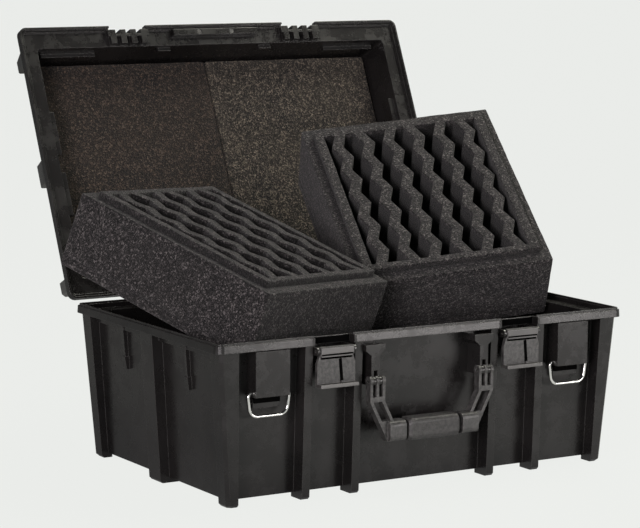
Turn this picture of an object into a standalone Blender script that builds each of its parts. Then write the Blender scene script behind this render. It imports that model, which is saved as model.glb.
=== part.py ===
"""Miniature figure case: ribbed tub, hinged lid, swing-up latches, carry handle, strap rings, foam trays."""
import math

import bpy
import bmesh
from mathutils import Euler, Matrix, Vector

MM = 0.001

# Gaps and overruns shared by the whole model
SEAT_GAP = 0.3 * MM          # between two pieces that touch
RUN_GAP = 0.35 * MM          # round a pin, on the radius
SIDE_GAP = 0.5 * MM          # beside a knuckle
OVERRUN = 2.0 * MM           # how far a union or a cut reaches past the face that it meets
ROUND_SIDES = 16
CORNER_STEPS = 4

# Case
CASE_WIDTH = 560 * MM
CASE_DEPTH = 354 * MM
RIM_TOP = 186 * MM
RIM_HEIGHT = 8.6 * MM
RIM_CORNER = 9 * MM
RIM_LIP = 6 * MM             # thickness of the rim's outer skirt, inside which the rim is stepped
RIM_LEAN = 0.6 * MM          # draft of the tub's flange
TONGUE_INSET = 2.7 * MM      # rim edge to the tongue that stands on the tub's rim
TONGUE_WIDTH = 2.2 * MM
TONGUE_HEIGHT = 2.4 * MM
TONGUE_ROOM = 0.5 * MM        # above the tongue when the lid is down
WALL = 3 * MM
FLOOR = 3 * MM
FOOT_HEIGHT = 6 * MM
END_RECESS = 18 * MM         # rim edge to end wall, at the rim
SIDE_RECESS = 22 * MM        # rim edge to front or back wall, at the rim
WALL_DRAFT_X = 10 * MM
WALL_DRAFT_Y = 6 * MM
WALL_CORNER = 7 * MM

# Ribs and corner posts of the tub and the lid
POST_WIDTH = 24 * MM         # at the rim
POST_TAPER = 4 * MM          # how far the post's inner sides lean in
POST_CHAMFER = 4 * MM
POST_SETBACK_X = 6 * MM      # rim edge to face, at the rim
POST_SETBACK_Y = 4 * MM
POST_DRAFT_X = 13.8 * MM
POST_DRAFT_Y = 8 * MM
RIB_SETBACK = 2.5 * MM
RIB_DRAFT = 6.7 * MM
END_RIB_SETBACK = 4 * MM
END_RIB_DRAFT = 12 * MM
LID_RIB_SETBACK = 9 * MM     # of the lid's ribs and posts
LID_RIB_DRAFT = 10 * MM
RIB_WIDTH = 10 * MM
END_RIB_WIDTH = 28 * MM
FOOT_REACH = 24 * MM         # how far a foot runs in under the floor
FOOT_CHAMFER = 3 * MM
END_BAND = 9 * MM            # flush band under the rim at both ends
END_BAND_SETBACK = 14 * MM
GUSSET_Y = 77 * MM
GUSSET_WIDTH = 5 * MM
GUSSET_DROP = 56 * MM
GUSSET_TIP = 13 * MM
GUSSET_TIP_WIDTH = 8 * MM
GUSSET_SETBACK = 12 * MM

# Foam pads and trays
PAD_THICKNESS = 24 * MM
TRAY_GAP = 1.25 * MM          # tray to wall, and tray to tray
FOAM_CORNER = 1.5 * MM
TRAY_BASE = 12 * MM
TRAY_BLOCK = 78 * MM
PLATEAU_HEIGHT = 8 * MM
PLATEAU_INSET_X = 12 * MM
PLATEAU_INSET_Y = 15 * MM
WINDOW_BORDER_X = 12 * MM
WINDOW_BORDER_Y = 10 * MM
STRIP_COUNT = 6
STRIP_WIDTH = 14 * MM
ZIGZAG_SWING = 4.5 * MM
ZIGZAG_TURNS = 11            # straight stretches of each zigzag edge
LEFT_TURN = (math.radians(19.2), math.radians(3.3), math.radians(24.5))
RIGHT_TURN = (math.radians(35.2), math.radians(-6.0), math.radians(-18.6))
LEFT_SHIFT = (-26.3 * MM, 7.8 * MM)     # propped tray against the one that lies under it
RIGHT_SHIFT = (19.0 * MM, 50.2 * MM)
PROBE_STEPS = 1200           # probes along each edge of the rim when a tray is let down on it
LEVEL_SHARE = 1e-9           # below this a direction counts as level

# Lid
LID_OPEN = math.radians(114.2)
LID_DEPTH = 57 * MM          # parting face to top panel
LID_RIM_HEIGHT = 9 * MM
LID_DRAFT_X = 12 * MM
LID_DRAFT_Y = 9 * MM
LID_FOOT = 8 * MM
LID_FOAM = 9 * MM
LEDGE_LENGTH = 76 * MM
LEDGE_DEPTH = 4 * MM
LEDGE_HEIGHT = 6 * MM
LEDGE_DROP = 20 * MM         # parting face to ledge
LEDGE_SETBACK = 12 * MM
LEDGE_RUN = 56 * MM
SIDE_LEDGE_DROP = 11 * MM
SIDE_LEDGE_HEIGHT = 18 * MM
STOP_X = 75 * MM
STOP_WIDTH = 18 * MM
STOP_DROP = 11 * MM          # parting face to stop pad
STOP_HEIGHT = 7 * MM
PLATE_WIDTH = 124 * MM
PLATE_DEPTH = 8 * MM
PLATE_SCREW_X = 24 * MM
SCREW_HEAD = 3 * MM
SCREW_SHANK = 1.5 * MM
SCREW_HEAD_HEIGHT = 1.6 * MM
SCREW_LENGTH = 5 * MM

# Hinges
HINGE_X = 150 * MM
HINGE_AXIS_OUT = 6.5 * MM    # rim edge to hinge axis
KNUCKLE_RADIUS = 5.5 * MM
KNUCKLE_WIDTH = 14 * MM
KNUCKLE_COUNT = 5
HINGE_PIN = 2.4 * MM

# Latches
LATCH_RIB_GAP = 3.3 * MM       # inner rib to latch ear
LATCH_RIB_ROOM = 1.3 * MM      # latch ear to outer rib
LATCH_NOTCH = 52 * MM
NOTCH_DEPTH = 11 * MM        # how far the notch cuts in from the rim edge
LATCH_WIDTH = 50 * MM
LATCH_NECK = 44 * MM         # width at the barrel and the top of the paddle
LATCH_SHOULDER = 9 * MM      # height over which the paddle widens
LATCH_GROOVE = 2.4 * MM
LATCH_GROOVE_X = 6 * MM
LATCH_DROP = 41 * MM         # barrel axis to lip
LATCH_THICKNESS = 5 * MM
LATCH_AXIS_DOWN = 15 * MM    # rim top to barrel axis
LATCH_AXIS_OUT = 1 * MM      # rim edge to barrel axis
LATCH_BARREL = 4.5 * MM
LATCH_BAR_PROUD = 0.6 * MM    # the squared bar stands out this far from the barrel
LATCH_LIP = 8 * MM
LATCH_LIP_HEIGHT = 4 * MM
LATCH_EAR = 3.2 * MM
LATCH_PIN = 1.5 * MM
KEEPER_RIBS = 4
KEEPER_RIB_WIDTH = 8 * MM
KEEPER_OUT = 5 * MM          # rim edge to keeper front
KEEPER_HEIGHT = 21 * MM

# Handle
HANDLE_SPAN = 170 * MM
HANDLE_AXIS_Z = 131 * MM
HANDLE_AXIS_OUT = 3 * MM     # rim edge to handle axis
HANDLE_ARM = 20 * MM
HANDLE_ARM_DEPTH = 10 * MM
HANDLE_KNUCKLE = 6 * MM
HANDLE_FINGER = 3.4 * MM     # each of an arm's three fingers
HANDLE_SLOT = 18 * MM        # axis to the bottom of the slots between the fingers
HANDLE_STRAIGHT = 24 * MM    # axis to the bend of the arm
HANDLE_DROP = 71 * MM        # axis to the foot of the grip
HANDLE_LEAN = 24 * MM        # how far the arm leans in below the bend
HANDLE_PIN = 2 * MM
ARM_BORDER = 4 * MM
BRACKET_TOP = 173 * MM
BRACKET_FOOT_WIDTH = 26 * MM
BRACKET_FOOT_HEIGHT = 13 * MM
BRACKET_RELIEF = 0.4 * MM    # the stem and its notch stand back this much from the prongs
BRACKET_SHOULDER = 6 * MM    # height over which the stem widens to its head
BRACKET_NOTCH = 12 * MM      # axis to the top of the notch between the prongs
BRACKET_RIB_GAP = 1 * MM
GRIP_HEIGHT = 24 * MM
GRIP_DEPTH = 22 * MM
GRIP_CORNER = 6 * MM
GRIP_SETBACK = 2 * MM        # sleeve notch to the foot of the arm
GRIP_BULGE = 1.2 * MM
GRIP_TAPER = 3 * MM          # length of the sleeve's tapered ends
GRIP_NOTCH = 4 * MM
BAR_HEIGHT = 13 * MM
BAR_DEPTH = 10 * MM

# Strap rings
RING_WIDTH_SHARE = 0.6353    # of the bay between the outer rib and the corner post
RING_REST_SHARE = 0.7727     # of the ring plate's width
RING_PLATE_GAP = 1.2 * MM     # ring plate to the side of the ring
RING_HEIGHT = 29 * MM
RING_WIRE = 1.9 * MM
RING_CORNER = 9 * MM
RING_STEPS = 6
RING_PLATE_TOP = 176 * MM
RING_PLATE_SETBACK = 2 * MM  # rim edge to the plate's front
RING_PLATE_UNDER = 4.2 * MM  # ring axis to the plate's underside
RING_AXIS_Z = 128.5 * MM
RING_AXIS_SETBACK = 12 * MM  # rim edge to ring axis
RING_SLOT = 4 * MM           # plate to the rest block under it
RING_WEB = 2 * MM            # thickness of the web that joins them
RING_REST_HEIGHT = 11 * MM
RING_REST_THICKNESS = 6 * MM

# Worked out
HALF_X = CASE_WIDTH / 2
HALF_Y = CASE_DEPTH / 2
RIM_BOTTOM = RIM_TOP - RIM_HEIGHT
RIM_STEP = RIM_HEIGHT - WALL
FLOOR_TOP = FOOT_HEIGHT + FLOOR
WALL_X = HALF_X - END_RECESS
WALL_Y = HALF_Y - SIDE_RECESS
BASE_X = WALL_X - WALL_DRAFT_X
BASE_Y = WALL_Y - WALL_DRAFT_Y
TRAY_WIDTH = BASE_X - WALL - TRAY_GAP * 3 / 2
TRAY_LENGTH = 2 * (BASE_Y - WALL - TRAY_GAP)
TRAY_HEIGHT = TRAY_BASE + SEAT_GAP + TRAY_BLOCK
PAD_BOTTOM = FLOOR_TOP + SEAT_GAP
LOWER_TRAY_Z = PAD_BOTTOM + PAD_THICKNESS + SEAT_GAP
LOWER_TRAY_TOP = LOWER_TRAY_Z + TRAY_HEIGHT + PLATEAU_HEIGHT
TRAY_X = TRAY_GAP / 2 + TRAY_WIDTH / 2
LEFT_PLACE = (LEFT_SHIFT[0] - TRAY_X, LEFT_SHIFT[1])
RIGHT_PLACE = (RIGHT_SHIFT[0] + TRAY_X, RIGHT_SHIFT[1])
PARTING = RIM_TOP + SEAT_GAP
LID_TOP = PARTING + LID_DEPTH
HINGE_Y = HALF_Y + HINGE_AXIS_OUT
HINGE_Z = RIM_TOP + SEAT_GAP / 2
BRACKET_X = HANDLE_SPAN / 2 - HANDLE_ARM / 2
PRONG_IN = HANDLE_FINGER / 2 + SIDE_GAP
PRONG_OUT = HANDLE_ARM / 2 - HANDLE_FINGER - SIDE_GAP
GRIP_CENTRE = HANDLE_SPAN - 2 * (HANDLE_ARM + HANDLE_LEAN + GRIP_NOTCH + GRIP_SETBACK)
INNER_RIB_X = BRACKET_X + BRACKET_FOOT_WIDTH / 2 + BRACKET_RIB_GAP + RIB_WIDTH / 2
LATCH_PIN_HALF = LATCH_NECK / 2 + SIDE_GAP + LATCH_EAR
LATCH_X = INNER_RIB_X + RIB_WIDTH / 2 + LATCH_RIB_GAP + LATCH_PIN_HALF
OUTER_RIB_X = LATCH_X + LATCH_PIN_HALF + LATCH_RIB_ROOM + RIB_WIDTH / 2
RING_BAY = HALF_X - POST_SETBACK_X - POST_WIDTH - OUTER_RIB_X - RIB_WIDTH / 2
RING_X = OUTER_RIB_X + RIB_WIDTH / 2 + RING_BAY / 2
RING_WIDTH = RING_BAY * RING_WIDTH_SHARE
RING_PLATE_WIDTH = RING_WIDTH - 2 * (2 * RING_WIRE + RING_PLATE_GAP)
RING_REST_WIDTH = RING_PLATE_WIDTH * RING_REST_SHARE
LATCH_Y = -HALF_Y - LATCH_AXIS_OUT
LATCH_Z = RIM_TOP - LATCH_AXIS_DOWN
HANDLE_Y = -HALF_Y - HANDLE_AXIS_OUT
RING_Y = -HALF_Y + RING_AXIS_SETBACK
RING_PLATE_Y = -HALF_Y + RING_PLATE_SETBACK

SMOOTH_ANGLE = math.radians(35)


def clear_scene():
    for ob in list(bpy.data.objects):
        bpy.data.objects.remove(ob, do_unlink=True)


def material(name, colour, roughness, metallic=0.0):
    """A Principled material, made once for each name."""
    found = bpy.data.materials.get(name)
    if found:
        return found
    mat = bpy.data.materials.new(name)
    mat.use_nodes = True
    shader = mat.node_tree.nodes["Principled BSDF"]
    shader.inputs["Base Color"].default_value = (*colour, 1.0)
    shader.inputs["Roughness"].default_value = roughness
    shader.inputs["Metallic"].default_value = metallic
    mat.diffuse_color = (*colour, 1.0)
    return mat


def black_plastic():
    return material("black_plastic", (0.018, 0.017, 0.017), 0.42)


def grey_foam():
    return material("charcoal_foam", (0.050, 0.046, 0.046), 0.95)


def steel():
    return material("steel", (0.62, 0.62, 0.60), 0.25, 1.0)


def chrome():
    return material("chrome", (0.78, 0.77, 0.74), 0.12, 1.0)


def grip_rubber():
    return material("grip_rubber", (0.022, 0.021, 0.021), 0.62)


def add_object(name, mesh, mat=None, smooth=False):
    ob = bpy.data.objects.new(name, mesh)
    bpy.context.collection.objects.link(ob)
    if mat:
        mesh.materials.clear()
        mesh.materials.append(mat)
    if smooth:
        mesh.shade_smooth()
        mesh.set_sharp_from_angle(angle=SMOOTH_ANGLE)
    return ob


def mesh_from(points, faces):
    mesh = bpy.data.meshes.new("shape")
    mesh.from_pydata([tuple(p) for p in points], [], faces)
    bm = bmesh.new()
    bm.from_mesh(mesh)
    bmesh.ops.recalc_face_normals(bm, faces=bm.faces)
    bm.to_mesh(mesh)
    bm.free()
    return mesh


def loft(loops):
    """A closed solid through loops of equal length, capped at both ends."""
    count = len(loops[0])
    points = [p for loop in loops for p in loop]
    faces = [tuple(range(count)), tuple(range(len(points) - count, len(points)))]
    for k in range(len(loops) - 1):
        a, b = k * count, (k + 1) * count
        for n in range(count):
            m = (n + 1) % count
            faces.append((a + n, a + m, b + m, b + n))
    return mesh_from(points, faces)


def rounded_outline(half_x, half_y, radius, z, centre=(0.0, 0.0)):
    """A rectangle with round corners, as a loop of points at height z."""
    points = []
    corners = ((1, 1, 0), (-1, 1, 1), (-1, -1, 2), (1, -1, 3))
    for sign_x, sign_y, quarter in corners:
        for step in range(CORNER_STEPS + 1):
            angle = math.pi / 2 * (quarter + step / CORNER_STEPS)
            points.append((
                centre[0] + sign_x * (half_x - radius) + radius * math.cos(angle),
                centre[1] + sign_y * (half_y - radius) + radius * math.sin(angle),
                z,
            ))
    return points


def box(low, high):
    x0, y0, z0 = low
    x1, y1, z1 = high
    lower = [(x0, y0, z0), (x1, y0, z0), (x1, y1, z0), (x0, y1, z0)]
    return loft([lower, [(x, y, z1) for x, y, _ in lower]])


def extrude_x(profile, x0, x1):
    """A profile of (y, z) points drawn along X."""
    return loft([[(x, y, z) for y, z in profile] for x in (x0, x1)])


def extrude_y(profile, y0, y1):
    """A profile of (x, z) points drawn along Y."""
    return loft([[(x, y, z) for x, z in profile] for y in (y0, y1)])


def rod_x(y, z, radius, x0, x1):
    turn = 2 * math.pi / ROUND_SIDES
    ring = [(y + radius * math.cos(turn * k), z + radius * math.sin(turn * k)) for k in range(ROUND_SIDES)]
    return extrude_x(ring, x0, x1)


def combine(base, tools, operation):
    """Union or difference of a mesh with others, worked out at once."""
    target = add_object("combined", base)
    helpers = []
    for tool in tools:
        helper = add_object("tool", tool)
        helpers.append(helper)
        boolean = target.modifiers.new("combine", "BOOLEAN")
        boolean.operation = operation
        boolean.object = helper
    graph = bpy.context.evaluated_depsgraph_get()
    graph.update()
    result = bpy.data.meshes.new_from_object(target.evaluated_get(graph))
    for ob in (target, *helpers):
        bpy.data.objects.remove(ob, do_unlink=True)
    return result


def unite(base, *tools):
    return combine(base, tools, "UNION")


def cut(base, *tools):
    return combine(base, tools, "DIFFERENCE")


def faces(half, setback, draft):
    """How far out a rib's or post's face is: at its foot, and at the rim."""
    return half - setback - draft, half - setback


def rib_profile(wall, low_face, high_face, rim_level):
    """Side view of a rib: distance out from the case's middle, and height. It ends in a foot."""
    return [
        (wall, rim_level),
        (high_face, rim_level),
        (low_face, FOOT_CHAMFER),
        (low_face - FOOT_CHAMFER, 0.0),
        (low_face - FOOT_REACH, 0.0),
        (low_face - FOOT_REACH, FOOT_HEIGHT + OVERRUN),
    ]


def upright_ribs(rim_level, ribs, end_ribs, posts_x, posts_y):
    """The ribs and posts that stand on the floor, up to a rim at rim_level, from where their faces are."""
    parts = []
    front = rib_profile(WALL_Y - OVERRUN, *ribs, rim_level)
    end = rib_profile(WALL_X - OVERRUN, *end_ribs, rim_level)
    for side in (-1, 1):
        for x in (-OUTER_RIB_X, -INNER_RIB_X, INNER_RIB_X, OUTER_RIB_X):
            profile = [(side * y, z) for y, z in front]
            parts.append(extrude_x(profile, x - RIB_WIDTH / 2, x + RIB_WIDTH / 2))
        profile = [(side * x, z) for x, z in end]
        parts.append(extrude_y(profile, -END_RIB_WIDTH / 2, END_RIB_WIDTH / 2))
    for side_x in (-1, 1):
        for side_y in (-1, 1):
            parts.append(corner_post(side_x, side_y, posts_x, posts_y, rim_level))
    return parts


def corner_post(side_x, side_y, faces_x, faces_y, rim_level):
    """A post with a chamfered corner that leans in towards its foot."""
    def plan(out_x, out_y, z, lean, grow=0.0):
        cut_off = POST_CHAMFER
        inner_x, inner_y = high_x - POST_WIDTH - lean, high_y - POST_WIDTH - lean
        corners = [
            (inner_x, inner_y), (out_x - grow, inner_y), (out_x - grow, out_y - cut_off - grow),
            (out_x - cut_off - grow, out_y - grow), (inner_x, out_y - grow),
        ]
        return [(side_x * x, side_y * y, z) for x, y in corners]
    low_x, high_x = faces_x
    low_y, high_y = faces_y
    return loft([
        plan(low_x, low_y, 0.0, POST_TAPER, FOOT_CHAMFER),
        plan(low_x, low_y, FOOT_CHAMFER, POST_TAPER),
        plan(high_x, high_y, rim_level, 0.0),
    ])


def end_gussets(rim_level):
    """The short blades that hang from the rim in the middle of each end window."""
    parts = []
    out = HALF_X - GUSSET_SETBACK
    for side in (-1, 1):
        for y in (-GUSSET_Y, GUSSET_Y):
            wall = WALL_X - WALL_DRAFT_X - WALL / 2
            blade = [(wall, rim_level), (out, rim_level), (out - GUSSET_WIDTH, rim_level - GUSSET_DROP),
                     (wall, rim_level - GUSSET_DROP)]
            tip_top = rim_level - GUSSET_DROP + GUSSET_TIP
            tip_low = rim_level - GUSSET_DROP - OVERRUN
            tip = [(wall, tip_top), (out - GUSSET_WIDTH / 2, tip_top)]
            tip += [(out - GUSSET_WIDTH, tip_low), (wall, tip_low)]
            for profile, width in ((blade, GUSSET_WIDTH), (tip, GUSSET_TIP_WIDTH)):
                parts.append(extrude_y([(side * x, z) for x, z in profile], y - width / 2, y + width / 2))
    return parts


def end_bands(rim_level):
    """The flush band under the rim at each end, which closes the top of the end windows."""
    out = HALF_X - END_BAND_SETBACK
    parts = []
    for side in (-1, 1):
        low, high = sorted((side * (WALL_X - OVERRUN), side * out))
        half = WALL_Y - WALL_CORNER
        parts.append(box((low, -half, rim_level - END_BAND - OVERRUN), (high, half, rim_level)))
    return parts


def rim_outline(inset, z):
    """The rim's outer outline, drawn in by inset."""
    return rounded_outline(HALF_X - inset, HALF_Y - inset, RIM_CORNER - inset, z)


def rim_slab(bottom, top, lean):
    return loft([rim_outline(0.0, bottom), rim_outline(lean, top)])


def rim_step(bottom, top):
    """Cuts the rim's inside back to its outer skirt."""
    return loft([rim_outline(RIM_LIP, z) for z in (bottom, top)])


def tongue_ring(bottom, top, gap):
    """A ring along the rim, as wide as the tongue with a gap on both sides."""
    ring = loft([rim_outline(TONGUE_INSET - gap, z) for z in (bottom, top)])
    inner = TONGUE_INSET + TONGUE_WIDTH + gap
    return cut(ring, loft([rim_outline(inner, z) for z in (bottom - OVERRUN, top + OVERRUN)]))


def rim_tongue():
    """The tongue that stands on the tub's flange and goes into the lid's recess."""
    return tongue_ring(RIM_TOP - RIM_STEP, RIM_TOP + TONGUE_HEIGHT, 0.0)


def tongue_groove():
    """The groove for the tongue through the walls of the lid's latch notches."""
    return tongue_ring(PARTING - OVERRUN, PARTING + TONGUE_HEIGHT + TONGUE_ROOM, SEAT_GAP)


def tongue_recess():
    """The recess in the lid's parting face, open to the rim's inner step."""
    bottom, top = PARTING - OVERRUN, PARTING + TONGUE_HEIGHT + TONGUE_ROOM
    return loft([rim_outline(TONGUE_INSET - SEAT_GAP, z) for z in (bottom, top)])


def notch_walls(bottom, top):
    """Blocks that carry the rim's skirt round the latch notches, once the notches are cut out of them."""
    half = LATCH_NOTCH / 2 + WALL
    back = -HALF_Y + NOTCH_DEPTH + WALL
    return [box((x - half, -HALF_Y, bottom), (x + half, back, top)) for x in (-LATCH_X, LATCH_X)]


def notch_cutters(bottom, top):
    """Cuts the rim away at the front where a latch swings past it."""
    half = LATCH_NOTCH / 2
    front, back = -HALF_Y - OVERRUN, -HALF_Y + NOTCH_DEPTH
    return [box((x - half, front, bottom), (x + half, back, top)) for x in (-LATCH_X, LATCH_X)]


def knuckle_spans(parity):
    """X ranges of the knuckles on one leaf: parity 0 is the tub's, parity 1 the lid's."""
    spans = []
    for centre in (-HINGE_X, HINGE_X):
        start = centre - KNUCKLE_COUNT * KNUCKLE_WIDTH / 2
        for k in range(KNUCKLE_COUNT):
            if k % 2 == parity:
                x0 = start + k * KNUCKLE_WIDTH
                spans.append((x0 + SIDE_GAP / 2, x0 + KNUCKLE_WIDTH - SIDE_GAP / 2))
    return spans


def knuckles(parity, web_bottom, web_top):
    """Hinge knuckles with the webs that join them to a rim between two heights."""
    parts = []
    for x0, x1 in knuckle_spans(parity):
        root = HALF_Y - OVERRUN
        web = [(root, web_bottom), (HINGE_Y, web_bottom), (HINGE_Y, web_top), (root, web_top)]
        parts.append(extrude_x(web, x0, x1))
        parts.append(rod_x(HINGE_Y, HINGE_Z, KNUCKLE_RADIUS, x0, x1))
    return parts


def hinge_bores():
    reach = KNUCKLE_COUNT * KNUCKLE_WIDTH / 2 + OVERRUN
    return [rod_x(HINGE_Y, HINGE_Z, HINGE_PIN + RUN_GAP, x - reach, x + reach) for x in (-HINGE_X, HINGE_X)]


def latch_ears():
    """Two ears on the tub beside each latch, which carry its pin."""
    parts = []
    for x in (-LATCH_X, LATCH_X):
        for side in (-1, 1):
            inner = x + side * (LATCH_NECK / 2 + SIDE_GAP)
            x0, x1 = sorted((inner, inner + side * LATCH_EAR))
            ear = [(-WALL_Y + OVERRUN, LATCH_Z - LATCH_BARREL), (LATCH_Y, LATCH_Z - LATCH_BARREL),
                   (LATCH_Y, LATCH_Z + LATCH_BARREL), (-WALL_Y + OVERRUN, LATCH_Z + LATCH_BARREL)]
            parts.append(extrude_x(ear, x0, x1))
            parts.append(rod_x(LATCH_Y, LATCH_Z, LATCH_BARREL, x0, x1))
    return parts


def latch_bores():
    half = LATCH_PIN_HALF + OVERRUN
    return [rod_x(LATCH_Y, LATCH_Z, LATCH_PIN + RUN_GAP, x - half, x + half) for x in (-LATCH_X, LATCH_X)]


def tub():
    """The ribbed lower casing with its rim, latch ears and hinge knuckles."""
    wall_top = RIM_BOTTOM + OVERRUN
    body = loft([
        rounded_outline(BASE_X, BASE_Y, WALL_CORNER, FOOT_HEIGHT),
        rounded_outline(WALL_X, WALL_Y, WALL_CORNER, wall_top),
    ])
    ribs = upright_ribs(
        wall_top, faces(HALF_Y, RIB_SETBACK, RIB_DRAFT), faces(HALF_X, END_RIB_SETBACK, END_RIB_DRAFT),
        faces(HALF_X, POST_SETBACK_X, POST_DRAFT_X), faces(HALF_Y, POST_SETBACK_Y, POST_DRAFT_Y),
    )
    body = unite(
        body, *ribs, *end_bands(wall_top), *end_gussets(wall_top), *latch_ears(),
        rim_slab(RIM_BOTTOM, RIM_TOP, RIM_LEAN), *knuckles(0, RIM_BOTTOM, RIM_TOP),
    )
    cavity = loft([
        rounded_outline(BASE_X - WALL, BASE_Y - WALL, WALL_CORNER - WALL, FLOOR_TOP),
        rounded_outline(WALL_X - WALL, WALL_Y - WALL, WALL_CORNER - WALL, RIM_TOP + OVERRUN),
    ])
    body = cut(body, cavity, rim_step(RIM_BOTTOM + WALL, RIM_TOP + OVERRUN))
    body = unite(body, rim_tongue(), *notch_walls(RIM_BOTTOM, RIM_TOP))
    notches = notch_cutters(RIM_BOTTOM - OVERRUN, RIM_TOP + TONGUE_HEIGHT + OVERRUN)
    body = cut(body, *notches, *hinge_bores(), *latch_bores())
    return add_object("tub", body, black_plastic(), smooth=True)


def lid_shape():
    """The lid's casing in its closed place."""
    rim_top = PARTING + LID_RIM_HEIGHT
    top_x, top_y = WALL_X - LID_DRAFT_X, WALL_Y - LID_DRAFT_Y
    body = loft([
        rounded_outline(WALL_X, WALL_Y, WALL_CORNER, PARTING),
        rounded_outline(top_x, top_y, WALL_CORNER, LID_TOP),
    ])
    foot_top = LID_TOP + LID_FOOT
    ribs = []
    faces_x = faces(HALF_X, LID_RIB_SETBACK, LID_RIB_DRAFT)
    faces_y = faces(HALF_Y, LID_RIB_SETBACK, LID_RIB_DRAFT)
    for mesh in upright_ribs(foot_top - rim_top + OVERRUN, faces_y, faces_x, faces_x, faces_y):
        mesh.transform(Matrix.Translation((0.0, 0.0, foot_top)) @ Matrix.Scale(-1, 4, (0.0, 0.0, 1.0)))
        mesh.flip_normals()
        ribs.append(mesh)
    body = unite(body, *ribs, rim_slab(PARTING, rim_top, 0.0), *knuckles(1, PARTING, rim_top))
    cavity = loft([
        rounded_outline(WALL_X - WALL, WALL_Y - WALL, WALL_CORNER - WALL, PARTING - OVERRUN),
        rounded_outline(top_x - WALL, top_y - WALL, WALL_CORNER - WALL, LID_TOP - WALL),
    ])
    body = cut(body, cavity, rim_step(PARTING - OVERRUN, rim_top - WALL), tongue_recess())
    body = unite(body, *notch_walls(PARTING, rim_top))
    notches = notch_cutters(PARTING - OVERRUN, rim_top + OVERRUN)
    body = cut(body, tongue_groove(), *notches, *hinge_bores())
    return unite(body, *keepers(), *foam_ledges(), *stop_pads())


def keepers():
    """Ribs on the lid's front, in each latch notch, over which a latch lip snaps."""
    parts = []
    pitch = (LATCH_NOTCH - KEEPER_RIB_WIDTH) / (KEEPER_RIBS - 1)
    low, high = PARTING, PARTING + KEEPER_HEIGHT
    front = -HALF_Y + KEEPER_OUT
    profile = [(front, low), (lid_face(low), low), (lid_face(high), high), (front, high)]
    for centre in (-LATCH_X, LATCH_X):
        for k in range(KEEPER_RIBS):
            x0 = centre - LATCH_NOTCH / 2 + k * pitch
            parts.append(extrude_x(profile, x0, x0 + KEEPER_RIB_WIDTH))
    return parts


def lid_face(z):
    """Y of the middle of the lid's front wall at a height, in the lid's closed place."""
    return -WALL_Y + WALL / 2 + LID_DRAFT_Y * (z - PARTING) / LID_DEPTH


def stop_pads():
    """Two small pads on the inside of the lid's front wall."""
    low, high = PARTING + STOP_DROP, PARTING + STOP_DROP + STOP_HEIGHT
    inner = lid_face(high) + WALL / 2 + LEDGE_DEPTH
    profile = [(lid_face(low), low), (inner, low), (inner, high), (lid_face(high), high)]
    return [extrude_x(profile, x - STOP_WIDTH / 2, x + STOP_WIDTH / 2) for x in (-STOP_X, STOP_X)]


def foam_ledges():
    """Ledges on the inside of the lid's walls that keep the foam sheets from dropping out."""
    parts = []
    low, high = PARTING + LEDGE_DROP, PARTING + LEDGE_DROP + LEDGE_HEIGHT
    inner = lid_face(high) + WALL / 2 + LEDGE_DEPTH
    profile = [(lid_face(low), low), (inner, low), (inner, high), (lid_face(high), high)]
    start = WALL_X - WALL - LEDGE_SETBACK
    for side in (-1, 1):
        parts.append(extrude_x(profile, *sorted((side * start, side * (start - LEDGE_LENGTH)))))
    low, high = PARTING + SIDE_LEDGE_DROP, PARTING + SIDE_LEDGE_DROP + SIDE_LEDGE_HEIGHT
    inner = lid_end(high) - WALL / 2 - LEDGE_DEPTH
    for side in (-1, 1):
        for run in (-1, 1):
            outline = [(lid_end(low), low), (inner, low), (inner, high), (lid_end(high), high)]
            outline = [(side * x, z) for x, z in outline]
            near, far = run * LEDGE_SETBACK, run * (LEDGE_SETBACK + LEDGE_RUN)
            parts.append(extrude_y(outline, *sorted((near, far))))
    return parts


def lid_end(z):
    """X of the middle of the lid's right end wall at a height, in the lid's closed place."""
    return WALL_X - WALL / 2 - LID_DRAFT_X * (z - PARTING) / LID_DEPTH


def lid_pivot():
    pivot = bpy.data.objects.new("lid_pivot", None)
    bpy.context.collection.objects.link(pivot)
    pivot.location = (0.0, HINGE_Y, HINGE_Z)
    pivot.rotation_euler = (-LID_OPEN, 0.0, 0.0)
    return pivot


def on_lid(pivot, name, mesh, mat, smooth=False):
    """Puts a mesh drawn in the lid's closed place on the lid's pivot."""
    mesh.transform(Matrix.Translation(-pivot.location))
    ob = add_object(name, mesh, mat, smooth)
    ob.parent = pivot
    return ob


def lid_foam(pivot):
    """Two foam sheets, side by side on the inside of the top panel."""
    z1 = LID_TOP - WALL - SEAT_GAP
    half_x = WALL_X - LID_DRAFT_X - WALL - TRAY_GAP
    half_y = WALL_Y - LID_DRAFT_Y - WALL - TRAY_GAP
    for name, side in (("lid_foam_left", -1), ("lid_foam_right", 1)):
        low, high = sorted((side * TRAY_GAP / 2, side * half_x))
        centre = ((low + high) / 2, 0.0)
        half_width, corner = (high - low) / 2, WALL_CORNER - WALL
        sheet = loft([rounded_outline(half_width, half_y, corner, z, centre) for z in (z1 - LID_FOAM, z1)])
        on_lid(pivot, name, sheet, grey_foam())


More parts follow.
